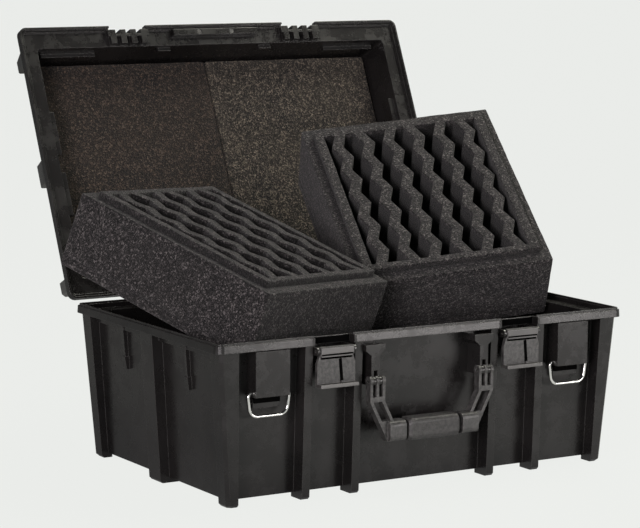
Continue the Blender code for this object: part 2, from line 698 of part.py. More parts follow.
def lid_front_plate(pivot):
    """The bar in the front of the lid's rim, flush with its face and held by two screws."""
    front = -HALF_Y + RIM_LIP + SEAT_GAP
    middle = front + PLATE_DEPTH / 2
    top = PARTING + RIM_STEP - SEAT_GAP
    plate = box((-PLATE_WIDTH / 2, front, PARTING), (PLATE_WIDTH / 2, front + PLATE_DEPTH, top))
    pilots = [
        turned_pin(x, middle, PARTING, SCREW_SHANK + RUN_GAP, SCREW_HEAD + RUN_GAP, RUN_GAP)
        for x in (-PLATE_SCREW_X, PLATE_SCREW_X)
    ]
    on_lid(pivot, "lid_front_plate", cut(plate, *pilots), black_plastic())
    for side, x in (("left", -PLATE_SCREW_X), ("right", PLATE_SCREW_X)):
        screw = turned_pin(x, middle, PARTING, SCREW_SHANK, SCREW_HEAD, 0.0)
        on_lid(pivot, f"lid_plate_screw_{side}", screw, steel(), smooth=True)


def turned_pin(x, y, z, shank, head, deeper):
    """A countersunk screw that stands up from z, head down."""
    turn = 2 * math.pi / ROUND_SIDES
    levels = (
        (head, z + RUN_GAP - deeper - (OVERRUN if deeper else 0.0)),
        (head, z + RUN_GAP + SCREW_HEAD_HEIGHT / 2 + deeper),
        (shank, z + RUN_GAP + SCREW_HEAD_HEIGHT + deeper),
        (shank, z + SCREW_LENGTH + deeper),
    )
    return loft([
        [(x + r * math.cos(turn * k), y + r * math.sin(turn * k), level) for k in range(ROUND_SIDES)]
        for r, level in levels
    ])


def hinge_pins():
    reach = KNUCKLE_COUNT * KNUCKLE_WIDTH / 2
    for name, x in (("hinge_pin_left", -HINGE_X), ("hinge_pin_right", HINGE_X)):
        pin = rod_x(HINGE_Y, HINGE_Z, HINGE_PIN, x - reach, x + reach)
        add_object(name, pin, steel(), smooth=True)


def pivot_at(name, x, y, z):
    pivot = bpy.data.objects.new(name, None)
    bpy.context.collection.objects.link(pivot)
    pivot.location = (x, y, z)
    return pivot


def latch_shape():
    """A latch hanging from its barrel axis, which is the mesh's origin. Its front is -Y."""
    half, neck_half = LATCH_WIDTH / 2, LATCH_NECK / 2
    back, front = LATCH_THICKNESS / 2, -LATCH_THICKNESS / 2
    barrel = rod_x(0.0, 0.0, LATCH_BARREL, -neck_half, neck_half)
    top = -LATCH_BARREL - LATCH_BAR_PROUD - SIDE_GAP
    shoulder = top - LATCH_SHOULDER
    outline = [
        (-neck_half, 0.0), (neck_half, 0.0), (neck_half, top), (half, shoulder),
        (half, -LATCH_DROP), (-half, -LATCH_DROP), (-half, shoulder), (-neck_half, top),
    ]
    paddle = extrude_y(outline, front, back)
    lip = extrude_x(
        [(back, -LATCH_DROP + LATCH_LIP_HEIGHT), (front - LATCH_LIP, -LATCH_DROP + LATCH_LIP_HEIGHT),
         (front - LATCH_LIP, -LATCH_DROP), (back, -LATCH_DROP)], -half, half)
    groove = box(
        (LATCH_GROOVE_X - LATCH_GROOVE / 2, front - LATCH_GROOVE, -LATCH_DROP + LATCH_LIP_HEIGHT),
        (LATCH_GROOVE_X + LATCH_GROOVE / 2, front + LATCH_GROOVE, top - LATCH_GROOVE),
    )
    reach = LATCH_BARREL + LATCH_BAR_PROUD
    bar = box((-neck_half, -reach, -reach), (neck_half, 0.0, reach))
    return cut(unite(barrel, bar, paddle, lip), groove, rod_x(0.0, 0.0, LATCH_PIN + RUN_GAP, -half, half))


def latches():
    mesh = latch_shape()
    for side, x in (("left", -LATCH_X), ("right", LATCH_X)):
        pivot = pivot_at(f"latch_pivot_{side}", x, LATCH_Y, LATCH_Z)
        latch = add_object(f"latch_{side}", mesh.copy(), black_plastic(), smooth=True)
        latch.parent = pivot
        pin = rod_x(LATCH_Y, LATCH_Z, LATCH_PIN, x - LATCH_PIN_HALF, x + LATCH_PIN_HALF)
        add_object(f"latch_pin_{side}", pin, steel(), smooth=True)


def arm_outline(side, border):
    """Front view of a handle arm about the handle axis, as (x, z), drawn in by border."""
    outer = HANDLE_SPAN / 2 - border
    inner = HANDLE_SPAN / 2 - HANDLE_ARM + border
    lean = HANDLE_LEAN
    bottom = -HANDLE_DROP + border
    points = [
        (inner, -border), (outer, -border), (outer, -HANDLE_STRAIGHT), (outer - lean, bottom),
        (inner - lean, bottom), (inner, -HANDLE_STRAIGHT),
    ]
    return [(side * x, z) for x, z in points]


def extrude_depth(outline, depth):
    return loft([[(x, y, z) for x, z in outline] for y in (-depth / 2, depth / 2)])


def bar_section(stations):
    """A rounded bar along the handle's foot, through stations of (x, how far it swells)."""
    loops = []
    for x, swell in stations:
        ring = rounded_outline(GRIP_DEPTH / 2 + swell, GRIP_HEIGHT / 2 + swell, GRIP_CORNER, 0.0)
        loops.append([(x, a, b - HANDLE_DROP + GRIP_HEIGHT / 2) for a, b, _ in ring])
    return loft(loops)


def handle_frame():
    """Both arms of the handle and the bar between them, about the handle axis."""
    arms = []
    for side in (-1, 1):
        arms.append(extrude_depth(arm_outline(side, 0.0), HANDLE_ARM_DEPTH))
    bar_z = -HANDLE_DROP + GRIP_HEIGHT / 2
    bar_half = GRIP_CENTRE / 2 + GRIP_NOTCH
    bar = box((-bar_half - OVERRUN, -BAR_DEPTH / 2, bar_z - BAR_HEIGHT / 2),
              (bar_half + OVERRUN, BAR_DEPTH / 2, bar_z + BAR_HEIGHT / 2))
    foot = HANDLE_SPAN / 2 - HANDLE_LEAN
    ends = [bar_section([(side * bar_half, 0.0), (side * foot, 0.0)]) for side in (-1, 1)]
    outer, inner = HANDLE_SPAN / 2, HANDLE_SPAN / 2 - HANDLE_ARM
    knuckle_rods = [
        rod_x(0.0, 0.0, HANDLE_KNUCKLE, *sorted((side * outer, side * inner))) for side in (-1, 1)
    ]
    body = unite(arms[0], arms[1], bar, *ends, *knuckle_rods)
    cutters = []
    for side in (-1, 1):
        centre = side * BRACKET_X
        for slot in (-1, 1):
            sides = (slot * (PRONG_IN - SIDE_GAP), slot * (PRONG_OUT + SIDE_GAP))
            near, far = sorted(centre + offset for offset in sides)
            cutters.append(box((near, -HANDLE_ARM_DEPTH, -HANDLE_SLOT),
                               (far, HANDLE_ARM_DEPTH, HANDLE_KNUCKLE + OVERRUN)))
        cutters.append(rod_x(0.0, 0.0, HANDLE_PIN + RUN_GAP, centre - HANDLE_ARM, centre + HANDLE_ARM))
        cutters.append(arm_window(side))
    return cut(body, *cutters)


def arm_window(side):
    """The window through the leaning part of an arm."""
    outer = HANDLE_SPAN / 2 - ARM_BORDER
    inner = HANDLE_SPAN / 2 - HANDLE_ARM + ARM_BORDER
    top = -HANDLE_STRAIGHT
    bottom = -HANDLE_DROP + GRIP_HEIGHT

    def lean(x, z):
        return (side * (x - HANDLE_LEAN * (top - z) / (HANDLE_DROP - HANDLE_STRAIGHT)), z)

    outline = [lean(inner, top), lean(outer, top), lean(outer, bottom), lean(inner, bottom)]
    return extrude_depth(outline, HANDLE_ARM_DEPTH * 2)


def handle_grip():
    """The grip sleeve round the bar, between two notches."""
    end = GRIP_CENTRE / 2
    shoulder = end - GRIP_TAPER
    sleeve = bar_section([
        (-end, -GRIP_BULGE), (-shoulder, GRIP_BULGE), (shoulder, GRIP_BULGE), (end, -GRIP_BULGE),
    ])
    bar_z = -HANDLE_DROP + GRIP_HEIGHT / 2
    half_y, half_z = BAR_DEPTH / 2 + SEAT_GAP, BAR_HEIGHT / 2 + SEAT_GAP
    bore = box((-end - OVERRUN, -half_y, bar_z - half_z), (end + OVERRUN, half_y, bar_z + half_z))
    return cut(sleeve, bore)


def handle():
    """The carry handle, its pins and the brackets that hold it on the tub."""
    pivot = pivot_at("handle_pivot", 0.0, HANDLE_Y, HANDLE_AXIS_Z)
    frame = add_object("handle_frame", handle_frame(), black_plastic(), smooth=True)
    grip = add_object("handle_grip", handle_grip(), grip_rubber(), smooth=True)
    for ob in (frame, grip):
        ob.parent = pivot
    for side, sign in (("left", -1), ("right", 1)):
        centre = sign * BRACKET_X
        add_object(f"handle_bracket_{side}", bracket_shape(centre), black_plastic(), smooth=True)
        pin = rod_x(HANDLE_Y, HANDLE_AXIS_Z, HANDLE_PIN, centre - HANDLE_ARM / 2, centre + HANDLE_ARM / 2)
        add_object(f"handle_pin_{side}", pin, steel(), smooth=True)


def wall_face(z):
    """How far out the tub's front wall stands at a height."""
    share = (z - FOOT_HEIGHT) / (RIM_BOTTOM + OVERRUN - FOOT_HEIGHT)
    return BASE_Y + (WALL_Y - BASE_Y) * share


def bracket_shape(x):
    """A bracket on the tub's front wall that ends in two prongs between the handle's fingers."""
    stem_half, head_half = PRONG_OUT - BRACKET_RELIEF, BRACKET_FOOT_WIDTH / 2
    low, high = HANDLE_AXIS_Z - HANDLE_KNUCKLE, BRACKET_TOP
    head_low = high - BRACKET_FOOT_HEIGHT
    front = HANDLE_Y
    outline = [
        (stem_half, low), (stem_half, head_low), (head_half, head_low + BRACKET_SHOULDER), (head_half, high),
    ]
    outline += [(-a, z) for a, z in outline[::-1]]
    stem = loft([
        [(x + a, front, z) for a, z in outline],
        [(x + a, -wall_face(z) - SEAT_GAP, z) for a, z in outline],
    ])
    notch_half = PRONG_IN + BRACKET_RELIEF
    notch = box((x - notch_half, front - OVERRUN, low - OVERRUN),
                (x + notch_half, -BASE_Y + OVERRUN, HANDLE_AXIS_Z + BRACKET_NOTCH))
    radius = HANDLE_KNUCKLE - SIDE_GAP
    turn = math.pi / ROUND_SIDES
    root = front + OVERRUN
    profile = [(root, HANDLE_AXIS_Z - radius), (root, HANDLE_AXIS_Z + radius)]
    for k in range(ROUND_SIDES + 1):
        out, up = radius * math.sin(turn * k), radius * math.cos(turn * k)
        profile.append((HANDLE_Y - out, HANDLE_AXIS_Z + up))
    prongs = [extrude_x(profile, *sorted((x + side * PRONG_IN, x + side * PRONG_OUT))) for side in (-1, 1)]
    bore = rod_x(HANDLE_Y, HANDLE_AXIS_Z, HANDLE_PIN + RUN_GAP, x - head_half, x + head_half)
    return cut(unite(cut(stem, notch), *prongs), bore)


def ring_path():
    """Centre line of a strap ring about its axis: a rounded rectangle that hangs in XZ."""
    half = RING_WIDTH / 2 - RING_WIRE
    bottom = -(RING_HEIGHT - 2 * RING_WIRE)
    corner = RING_CORNER
    points = []
    top_corner = RING_WIRE * 2
    centres = (
        (half - top_corner, -top_corner, top_corner, 0), (-half + top_corner, -top_corner, top_corner, 1),
        (-half + corner, bottom + corner, corner, 2), (half - corner, bottom + corner, corner, 3),
    )
    for cx, cz, radius, quarter in centres:
        for step in range(RING_STEPS + 1):
            angle = math.pi / 2 * (quarter + step / RING_STEPS)
            points.append((cx + radius * math.cos(angle), cz + radius * math.sin(angle)))
    return points


def ring_shape():
    """A closed wire ring, swept round its path."""
    path = ring_path()
    count = len(path)
    sides = ROUND_SIDES // 2
    points, faces = [], []
    for k in range(count):
        x0, z0 = path[k - 1]
        x1, z1 = path[(k + 1) % count]
        along = Vector((x1 - x0, 0.0, z1 - z0)).normalized()
        out = Vector((along.z, 0.0, -along.x))
        side = Vector((0.0, 1.0, 0.0))
        middle = Vector((path[k][0], 0.0, path[k][1]))
        for n in range(sides):
            angle = 2 * math.pi * n / sides
            points.append(middle + RING_WIRE * (math.cos(angle) * out + math.sin(angle) * side))
    for k in range(count):
        a, b = k * sides, (k + 1) % count * sides
        for n in range(sides):
            m = (n + 1) % sides
            faces.append((a + n, a + m, b + m, b + n))
    return mesh_from(points, faces)


def on_wall(low, high, thickness):
    """Side view of a pad on the front wall, as (y, z) points."""
    return [
        (-wall_face(low) - SEAT_GAP, low), (-wall_face(low) - thickness, low),
        (-wall_face(high) - thickness, high), (-wall_face(high) - SEAT_GAP, high),
    ]


def ring_plate(x):
    """The plate that holds a strap ring by its top bar, and the block under it that the ring rests on."""
    half, rest_half = RING_PLATE_WIDTH / 2, RING_REST_WIDTH / 2
    low, high = RING_AXIS_Z - RING_PLATE_UNDER, RING_PLATE_TOP
    plate = [
        (-wall_face(low) - SEAT_GAP, low), (RING_PLATE_Y, low),
        (RING_PLATE_Y, high), (-wall_face(high) - SEAT_GAP, high),
    ]
    rest_top = low - RING_SLOT
    rest = on_wall(rest_top - RING_REST_HEIGHT, rest_top, RING_REST_THICKNESS)
    web = on_wall(rest_top - OVERRUN, low + OVERRUN, RING_WEB)
    body = unite(
        extrude_x(plate, x - half, x + half),
        extrude_x(rest, x - rest_half, x + rest_half),
        extrude_x(web, x - rest_half, x + rest_half),
    )
    reach = half + OVERRUN
    return cut(body, rod_x(RING_Y, RING_AXIS_Z, RING_WIRE + RUN_GAP, x - reach, x + reach))


def strap_rings():
    mesh = ring_shape()
    for side, x in (("left", -RING_X), ("right", RING_X)):
        pivot = pivot_at(f"ring_pivot_{side}", x, RING_Y, RING_AXIS_Z)
        ring = add_object(f"strap_ring_{side}", mesh.copy(), chrome(), smooth=True)
        ring.parent = pivot
        add_object(f"ring_plate_{side}", ring_plate(x), black_plastic(), smooth=True)


def floor_pads():
    """Two foam pads on the floor, under the trays."""
    for name, side in (("floor_pad_left", -1), ("floor_pad_right", 1)):
        pad = foam_slab((side * TRAY_X, 0.0), PAD_BOTTOM, PAD_BOTTOM + PAD_THICKNESS)
        add_object(name, pad, grey_foam())


def foam_slab(centre, bottom, top):
    """A slab with the outline of a tray."""
    return loft([
        rounded_outline(TRAY_WIDTH / 2, TRAY_LENGTH / 2, FOAM_CORNER, z, centre) for z in (bottom, top)
    ])


def zigzag(line, edge):
    """One edge of a strip as (x, y) points from the front of the window to its back."""
    window_x = TRAY_WIDTH / 2 - PLATEAU_INSET_X - WINDOW_BORDER_X
    window_y = TRAY_LENGTH / 2 - PLATEAU_INSET_Y - WINDOW_BORDER_Y
    if line in (0, STRIP_COUNT + 1):
        side = -1 if line == 0 else 1
        return [(side * window_x, -window_y), (side * window_x, window_y)]
    pitch = 2 * window_x / STRIP_COUNT
    middle = (line - (STRIP_COUNT + 1) / 2) * pitch
    knots = ZIGZAG_TURNS
    phase = -1 if line % 2 else 1
    edge_x = middle + edge * STRIP_WIDTH / 2
    return [
        (edge_x + phase * (-1) ** k * ZIGZAG_SWING, -window_y + 2 * window_y * k / knots)
        for k in range(knots + 1)
    ]


def slot_cutter(line, z0, z1):
    """The channel between two neighbouring strips: a chain of diamonds joined by necks."""
    left = zigzag(line, 1)
    right = zigzag(line + 1, -1)
    outline = left + right[::-1]
    return loft([[(x, y, z) for x, y in outline] for z in (z0, z1)])


def tray_block():
    """A foam block with a stepped top and zigzag slots through it. Its origin is the middle of its step."""
    half_x, half_y = TRAY_WIDTH / 2, TRAY_LENGTH / 2
    top_x, top_y = half_x - PLATEAU_INSET_X, half_y - PLATEAU_INSET_Y
    levels = (
        (half_x, half_y, -TRAY_BLOCK), (half_x, half_y, 0.0),
        (top_x, top_y, 0.0), (top_x, top_y, PLATEAU_HEIGHT),
    )
    block = loft([rounded_outline(x, y, FOAM_CORNER, z) for x, y, z in levels])
    low, high = -TRAY_BLOCK - OVERRUN, PLATEAU_HEIGHT + OVERRUN
    slots = [slot_cutter(line, low, high) for line in range(STRIP_COUNT + 1)]
    return cut(block, *slots)


def tray_base():
    """The sheet that closes the slots of a tray block from below."""
    return foam_slab((0.0, 0.0), -TRAY_HEIGHT, -TRAY_HEIGHT + TRAY_BASE)


def lowest_above(turn, place, x, y):
    """Height of a turned tray's underside straight above a point, for a tray with its origin at z = 0."""
    inverse = turn.transposed()
    start = inverse @ Vector((x - place[0], y - place[1], 0.0))
    rise = inverse @ Vector((0.0, 0.0, 1.0))
    low, high = -math.inf, math.inf
    spans = (
        (-TRAY_WIDTH / 2, TRAY_WIDTH / 2), (-TRAY_LENGTH / 2, TRAY_LENGTH / 2), (-TRAY_HEIGHT, 0.0),
    )
    for k, (near, far) in enumerate(spans):
        if abs(rise[k]) < LEVEL_SHARE:
            if not near < start[k] < far:
                return None
            continue
        t0, t1 = sorted(((near - start[k]) / rise[k], (far - start[k]) / rise[k]))
        low, high = max(low, t0), min(high, t1)
    return low if low < high else None


def rim_probes():
    """Points along the edges of the tub's stepped rim: x, y and the height of the edge."""
    step_z = RIM_TOP - RIM_STEP
    lean_share = (RIM_TOP + OVERRUN - step_z) / (RIM_TOP + OVERRUN - FLOOR_TOP)
    tongue_in, tongue_top = TONGUE_INSET + TONGUE_WIDTH, RIM_TOP + TONGUE_HEIGHT
    edges = (
        (HALF_X, HALF_Y, RIM_TOP), (HALF_X - RIM_LIP, HALF_Y - RIM_LIP, RIM_TOP),
        (HALF_X - TONGUE_INSET, HALF_Y - TONGUE_INSET, tongue_top),
        (HALF_X - tongue_in, HALF_Y - tongue_in, tongue_top),
        (WALL_X - WALL - WALL_DRAFT_X * lean_share, WALL_Y - WALL - WALL_DRAFT_Y * lean_share, step_z),
    )
    points = []
    for half_x, half_y, z in edges:
        for k in range(PROBE_STEPS + 1):
            share = -1 + 2 * k / PROBE_STEPS
            points += [(share * half_x, side * half_y, z) for side in (-1, 1)]
            points += [(side * half_x, share * half_y, z) for side in (-1, 1)]
    return points


def resting_height(turn, place):
    """Height of a propped tray's origin when it is let down until the rim or the lower trays stop it."""
    height = -math.inf
    for x, y, z in rim_probes():
        under = lowest_above(turn, place, x, y)
        if under is not None:
            height = max(height, z + SEAT_GAP - under)
    for x in (-TRAY_WIDTH / 2, TRAY_WIDTH / 2):
        for y in (-TRAY_LENGTH / 2, TRAY_LENGTH / 2):
            corner = turn @ Vector((x, y, -TRAY_HEIGHT))
            height = max(height, LOWER_TRAY_TOP + SEAT_GAP - corner.z)
    return height


def trays():
    """Two trays lying in the tub, and two propped on them and on the rim."""
    block, base = tray_block(), tray_base()
    level = LOWER_TRAY_Z + TRAY_HEIGHT
    places = [
        ("lower_tray_left", (-TRAY_X, 0.0, level), (0.0, 0.0, 0.0)),
        ("lower_tray_right", (TRAY_X, 0.0, level), (0.0, 0.0, 0.0)),
    ]
    for name, place, angles in (
        ("upper_tray_left", LEFT_PLACE, LEFT_TURN), ("upper_tray_right", RIGHT_PLACE, RIGHT_TURN),
    ):
        turn = Euler(angles, "XYZ").to_matrix()
        places.append((name, (*place, resting_height(turn, place)), angles))
    for name, place, angles in places:
        pivot = pivot_at(f"{name}_pivot", *place)
        pivot.rotation_euler = angles
        for part, mesh in (("block", block), ("base", base)):
            ob = add_object(f"{name}_{part}", mesh.copy(), grey_foam())
            ob.parent = pivot


def lower_by(height):
    """Moves the whole case down, so that the origin is the middle of the tub's underside."""
    for ob in bpy.data.objects:
        if ob.parent is None:
            ob.location.z -= height


def main():
    clear_scene()
    tub()
    pivot = lid_pivot()
    on_lid(pivot, "lid_shell", lid_shape(), black_plastic(), smooth=True)
    lid_foam(pivot)
    lid_front_plate(pivot)
    hinge_pins()
    latches()
    handle()
    strap_rings()
    floor_pads()
    trays()
    lower_by(FOOT_HEIGHT)


main()
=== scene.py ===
"""Looks of the miniature figure case: moulded plastic, cut foam, chrome rings, soft studio light."""
import math

import bmesh
import bpy
from mathutils import Euler, Matrix, Vector, noise
from mathutils.geometry import delaunay_2d_cdt


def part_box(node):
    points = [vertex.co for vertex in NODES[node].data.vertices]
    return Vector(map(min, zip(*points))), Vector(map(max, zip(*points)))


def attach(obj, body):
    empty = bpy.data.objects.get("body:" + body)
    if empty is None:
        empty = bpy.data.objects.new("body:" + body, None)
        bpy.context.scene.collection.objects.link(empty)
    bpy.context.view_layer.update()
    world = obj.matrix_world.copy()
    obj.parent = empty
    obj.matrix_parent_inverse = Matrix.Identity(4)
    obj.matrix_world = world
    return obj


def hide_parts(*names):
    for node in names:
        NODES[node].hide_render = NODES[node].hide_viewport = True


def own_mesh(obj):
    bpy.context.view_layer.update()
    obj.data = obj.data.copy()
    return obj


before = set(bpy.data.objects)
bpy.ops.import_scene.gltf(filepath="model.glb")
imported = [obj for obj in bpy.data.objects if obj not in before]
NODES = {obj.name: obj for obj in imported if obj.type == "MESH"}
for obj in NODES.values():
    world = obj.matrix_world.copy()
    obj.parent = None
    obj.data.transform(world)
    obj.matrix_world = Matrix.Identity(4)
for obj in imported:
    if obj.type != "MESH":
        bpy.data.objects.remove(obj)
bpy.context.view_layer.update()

MM = 0.001
NOISE_SEED = 5               # the foam wanders the same way in each run
noise.seed_set(NOISE_SEED)

# Lid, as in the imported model
LID_TURN = math.radians(-114.2)
HINGE_POINT = Vector((0.0, 183.5 * MM, 180.15 * MM))

# Foam
FOAM_SKIN = 0.25 * MM        # how far the cut foam stays inside its solid
FOAM_EDGE = 1.1 * MM
FOAM_STEP = 5.5 * MM         # spacing of the points along a cut
FOAM_WAVE = 0.45 * MM        # unevenness of the cut faces
WAVE_SIZE = 21 * MM
RIPPLE = 0.16 * MM
RIPPLE_SIZE = 7 * MM
FACE_GRID = 9 * MM           # spacing of the points inside a flat face
FACE_REACH_SHARE = 0.45      # how near to an edge such a point may lie, in grids
WALL_ROWS = 9
MERGE_REACH = 0.002 * MM
DRAW_TOLERANCE = 1e-7
SMOOTH_BELOW = 40            # degrees
BASE_UNEVEN_SHARE = 0.6
SHEET_UNEVEN_SHARE = 0.8
SHEET_CORNER = 3 * MM
PAD_CORNER = 2 * MM
BLOCK_WIDTH = 247.125 * MM
BLOCK_LENGTH = 289.5 * MM
BLOCK_HALVES = (BLOCK_WIDTH / 2 - FOAM_SKIN, BLOCK_LENGTH / 2 - FOAM_SKIN)
BLOCK_DEPTH = 78 * MM
BLOCK_CORNER = 2.2 * MM
BASE_DEPTH = 12 * MM
BASE_GAP = 0.3 * MM
PAINTED_SHADE_DEPTH = 4 * MM         # painted shade: below this the slot walls are painted black
STEP_PAINTED_SHADE = 0.62            # how dark the painted shade on the short wall over the step is
STEP_REACH = 0.2 * MM
# Name of the stored mark of painted shade on the foam's points
PAINTED_SHADE_MARK = "slot_depth"
PLATEAU_RISE = 8 * MM
PLATEAU_INSET_X = 12 * MM
PLATEAU_INSET_Y = 15 * MM
WINDOW_BORDER_X = 12 * MM
WINDOW_BORDER_Y = 10 * MM
STRIP_COUNT = 6
STRIP_WIDTH = 14 * MM
ZIGZAG_SWING = 4.5 * MM
ZIGZAG_TURNS = 11

# A quarter round in three steps, from its start to its end
QUARTER_INSETS = (1.0, 0.62, 0.29, 0.0)
QUARTER_DROPS = (0.0, 0.07, 0.29, 1.0)


def place(tree, kind, inputs=None, **settings):
    """Adds a node; inputs holds a value or another node's socket for each of its own sockets."""
    node = tree.nodes.new(kind)
    for key, value in settings.items():
        setattr(node, key, value)
    for key, value in (inputs or {}).items():
        if isinstance(value, bpy.types.NodeSocket):
            tree.links.new(value, node.inputs[key])
        else:
            node.inputs[key].default_value = value
    return node


def effect(name, sizes, results):
    """An empty shader node group that takes a vector and some sizes and gives the named results."""
    tree = bpy.data.node_groups.new(name, "ShaderNodeTree")
    tree.interface.new_socket("Vector", in_out="INPUT", socket_type="NodeSocketVector")
    for label in sizes:
        tree.interface.new_socket(label, in_out="INPUT", socket_type="NodeSocketFloat")
    for label in results:
        tree.interface.new_socket(label, in_out="OUTPUT", socket_type="NodeSocketFloat")
    entry = tree.nodes.new("NodeGroupInput")
    leave = tree.nodes.new("NodeGroupOutput")
    return tree, entry.outputs, leave.inputs


def scaled(tree, vector, factor):
    return place(tree, "ShaderNodeVectorMath", {0: vector, 3: factor}, operation="SCALE").outputs[0]


def sums(tree, operation, first, second):
    return place(tree, "ShaderNodeMath", {0: first, 1: second}, operation=operation).outputs[0]


def ramp(tree, value, low, high, out_low=0.0, out_high=1.0):
    """Smooth step from low to high."""
    node = place(
        tree, "ShaderNodeMapRange",
        {0: value, 1: low, 2: high, 3: out_low, 4: out_high}, interpolation_type="SMOOTHSTEP",
    )
    return node.outputs[0]


EDGE_SAMPLES = 6

# How fine each pattern is beside the main one of its effect
PIT_SCALE = 0.55
STREAK_SCALE = 3.1
SMALL_CELL_SCALE = 2.1
FUZZ_SCALE = 1.7
TORN_SCALE = 0.22

# What the finer patterns add to a height
SKIN_PIT_SHARE = 0.35
FOAM_PIT_SHARE = 0.6
FUZZ_SHARE = 0.5

# Where each soft step of the effects begins and ends
TONE_STEP = (0.32, 0.68)
GLOSS_STEP = (0.35, 0.70)
EDGE_STEP = (0.015, 0.16)
PATCH_STEP = (0.30, 0.62)
LYING_STEP = (0.25, 0.95)
DUST_STEP = (0.40, 0.75)
PIT_STEP = (0.35, 1.15)
TORN_STEP = (0.30, 0.70)
SPECK_STEP = (0.86, 1.0)
DRIFT_STEP = (0.35, 0.65)
WEAR_SHARES = (0.35, 1.0)    # of the worn line, in its faint and in its clear patches

# What adds up to the tone of a foam cell
LARGE_CELL_SHARE = 0.55
SMALL_CELL_SHARE = 0.20
PIT_SHARE = 0.15
TORN_SHARE = 0.10


def moulded_skin():
    """Fine spark-eroded grain of a plastic moulding, with slow changes of tone and gloss."""
    tree, given, made = effect("moulded_skin", ("Grain Size", "Tone Size"), ("Height", "Tone", "Gloss"))
    fine = sums(tree, "DIVIDE", 1.0, given["Grain Size"])
    slow = sums(tree, "DIVIDE", 1.0, given["Tone Size"])
    grain = place(tree, "ShaderNodeTexNoise", {"Vector": scaled(tree, given["Vector"], fine), "Scale": 1.0,
                                               "Detail": 2.0, "Roughness": 0.6})
    pits = place(tree, "ShaderNodeTexVoronoi", {"Vector": scaled(tree, given["Vector"], fine),
                                                "Scale": PIT_SCALE})
    deep = sums(tree, "MULTIPLY", pits.outputs["Distance"], SKIN_PIT_SHARE)
    tree.links.new(sums(tree, "ADD", grain.outputs[0], deep), made["Height"])
    cloud = place(tree, "ShaderNodeTexNoise", {"Vector": scaled(tree, given["Vector"], slow), "Scale": 1.0,
                                               "Detail": 3.0})
    tree.links.new(ramp(tree, cloud.outputs[0], *TONE_STEP), made["Tone"])
    streak = place(tree, "ShaderNodeTexNoise", {"Vector": scaled(tree, given["Vector"], slow),
                                                "Scale": STREAK_SCALE, "Detail": 5.0, "Roughness": 0.7})
    tree.links.new(ramp(tree, streak.outputs[0], *GLOSS_STEP), made["Gloss"])
    return tree


def edge_wear():
    """Mask of the worn, paler line along sharp edges."""
    tree, given, made = effect("edge_wear", ("Width", "Patch Size"), ("Mask",))
    rounded = place(tree, "ShaderNodeBevel", {"Radius": given["Width"]}, samples=EDGE_SAMPLES)
    flat = place(tree, "ShaderNodeNewGeometry")
    facing = place(tree, "ShaderNodeVectorMath", {0: rounded.outputs[0], 1: flat.outputs["Normal"]},
                   operation="DOT_PRODUCT")
    edge = ramp(tree, sums(tree, "SUBTRACT", 1.0, facing.outputs["Value"]), *EDGE_STEP)
    slow = sums(tree, "DIVIDE", 1.0, given["Patch Size"])
    patches = place(tree, "ShaderNodeTexNoise", {"Vector": scaled(tree, given["Vector"], slow), "Scale": 1.0,
                                                 "Detail": 4.0, "Roughness": 0.65})
    worn = ramp(tree, patches.outputs[0], *PATCH_STEP, *WEAR_SHARES)
    tree.links.new(sums(tree, "MULTIPLY", edge, worn), made["Mask"])
    return tree


def settled_dust():
    """Mask of the light dust that lies on faces that look up."""
    tree, given, made = effect("settled_dust", ("Speck Size",), ("Mask",))
    flat = place(tree, "ShaderNodeNewGeometry")
    split = place(tree, "ShaderNodeSeparateXYZ", {0: flat.outputs["Normal"]})
    slow = sums(tree, "DIVIDE", 1.0, given["Speck Size"])
    specks = place(tree, "ShaderNodeTexNoise", {"Vector": scaled(tree, given["Vector"], slow), "Scale": 1.0,
                                                "Detail": 6.0, "Roughness": 0.75})
    lying = ramp(tree, split.outputs["Z"], *LYING_STEP)
    tree.links.new(sums(tree, "MULTIPLY", lying, ramp(tree, specks.outputs[0], *DUST_STEP)), made["Mask"])
    return tree


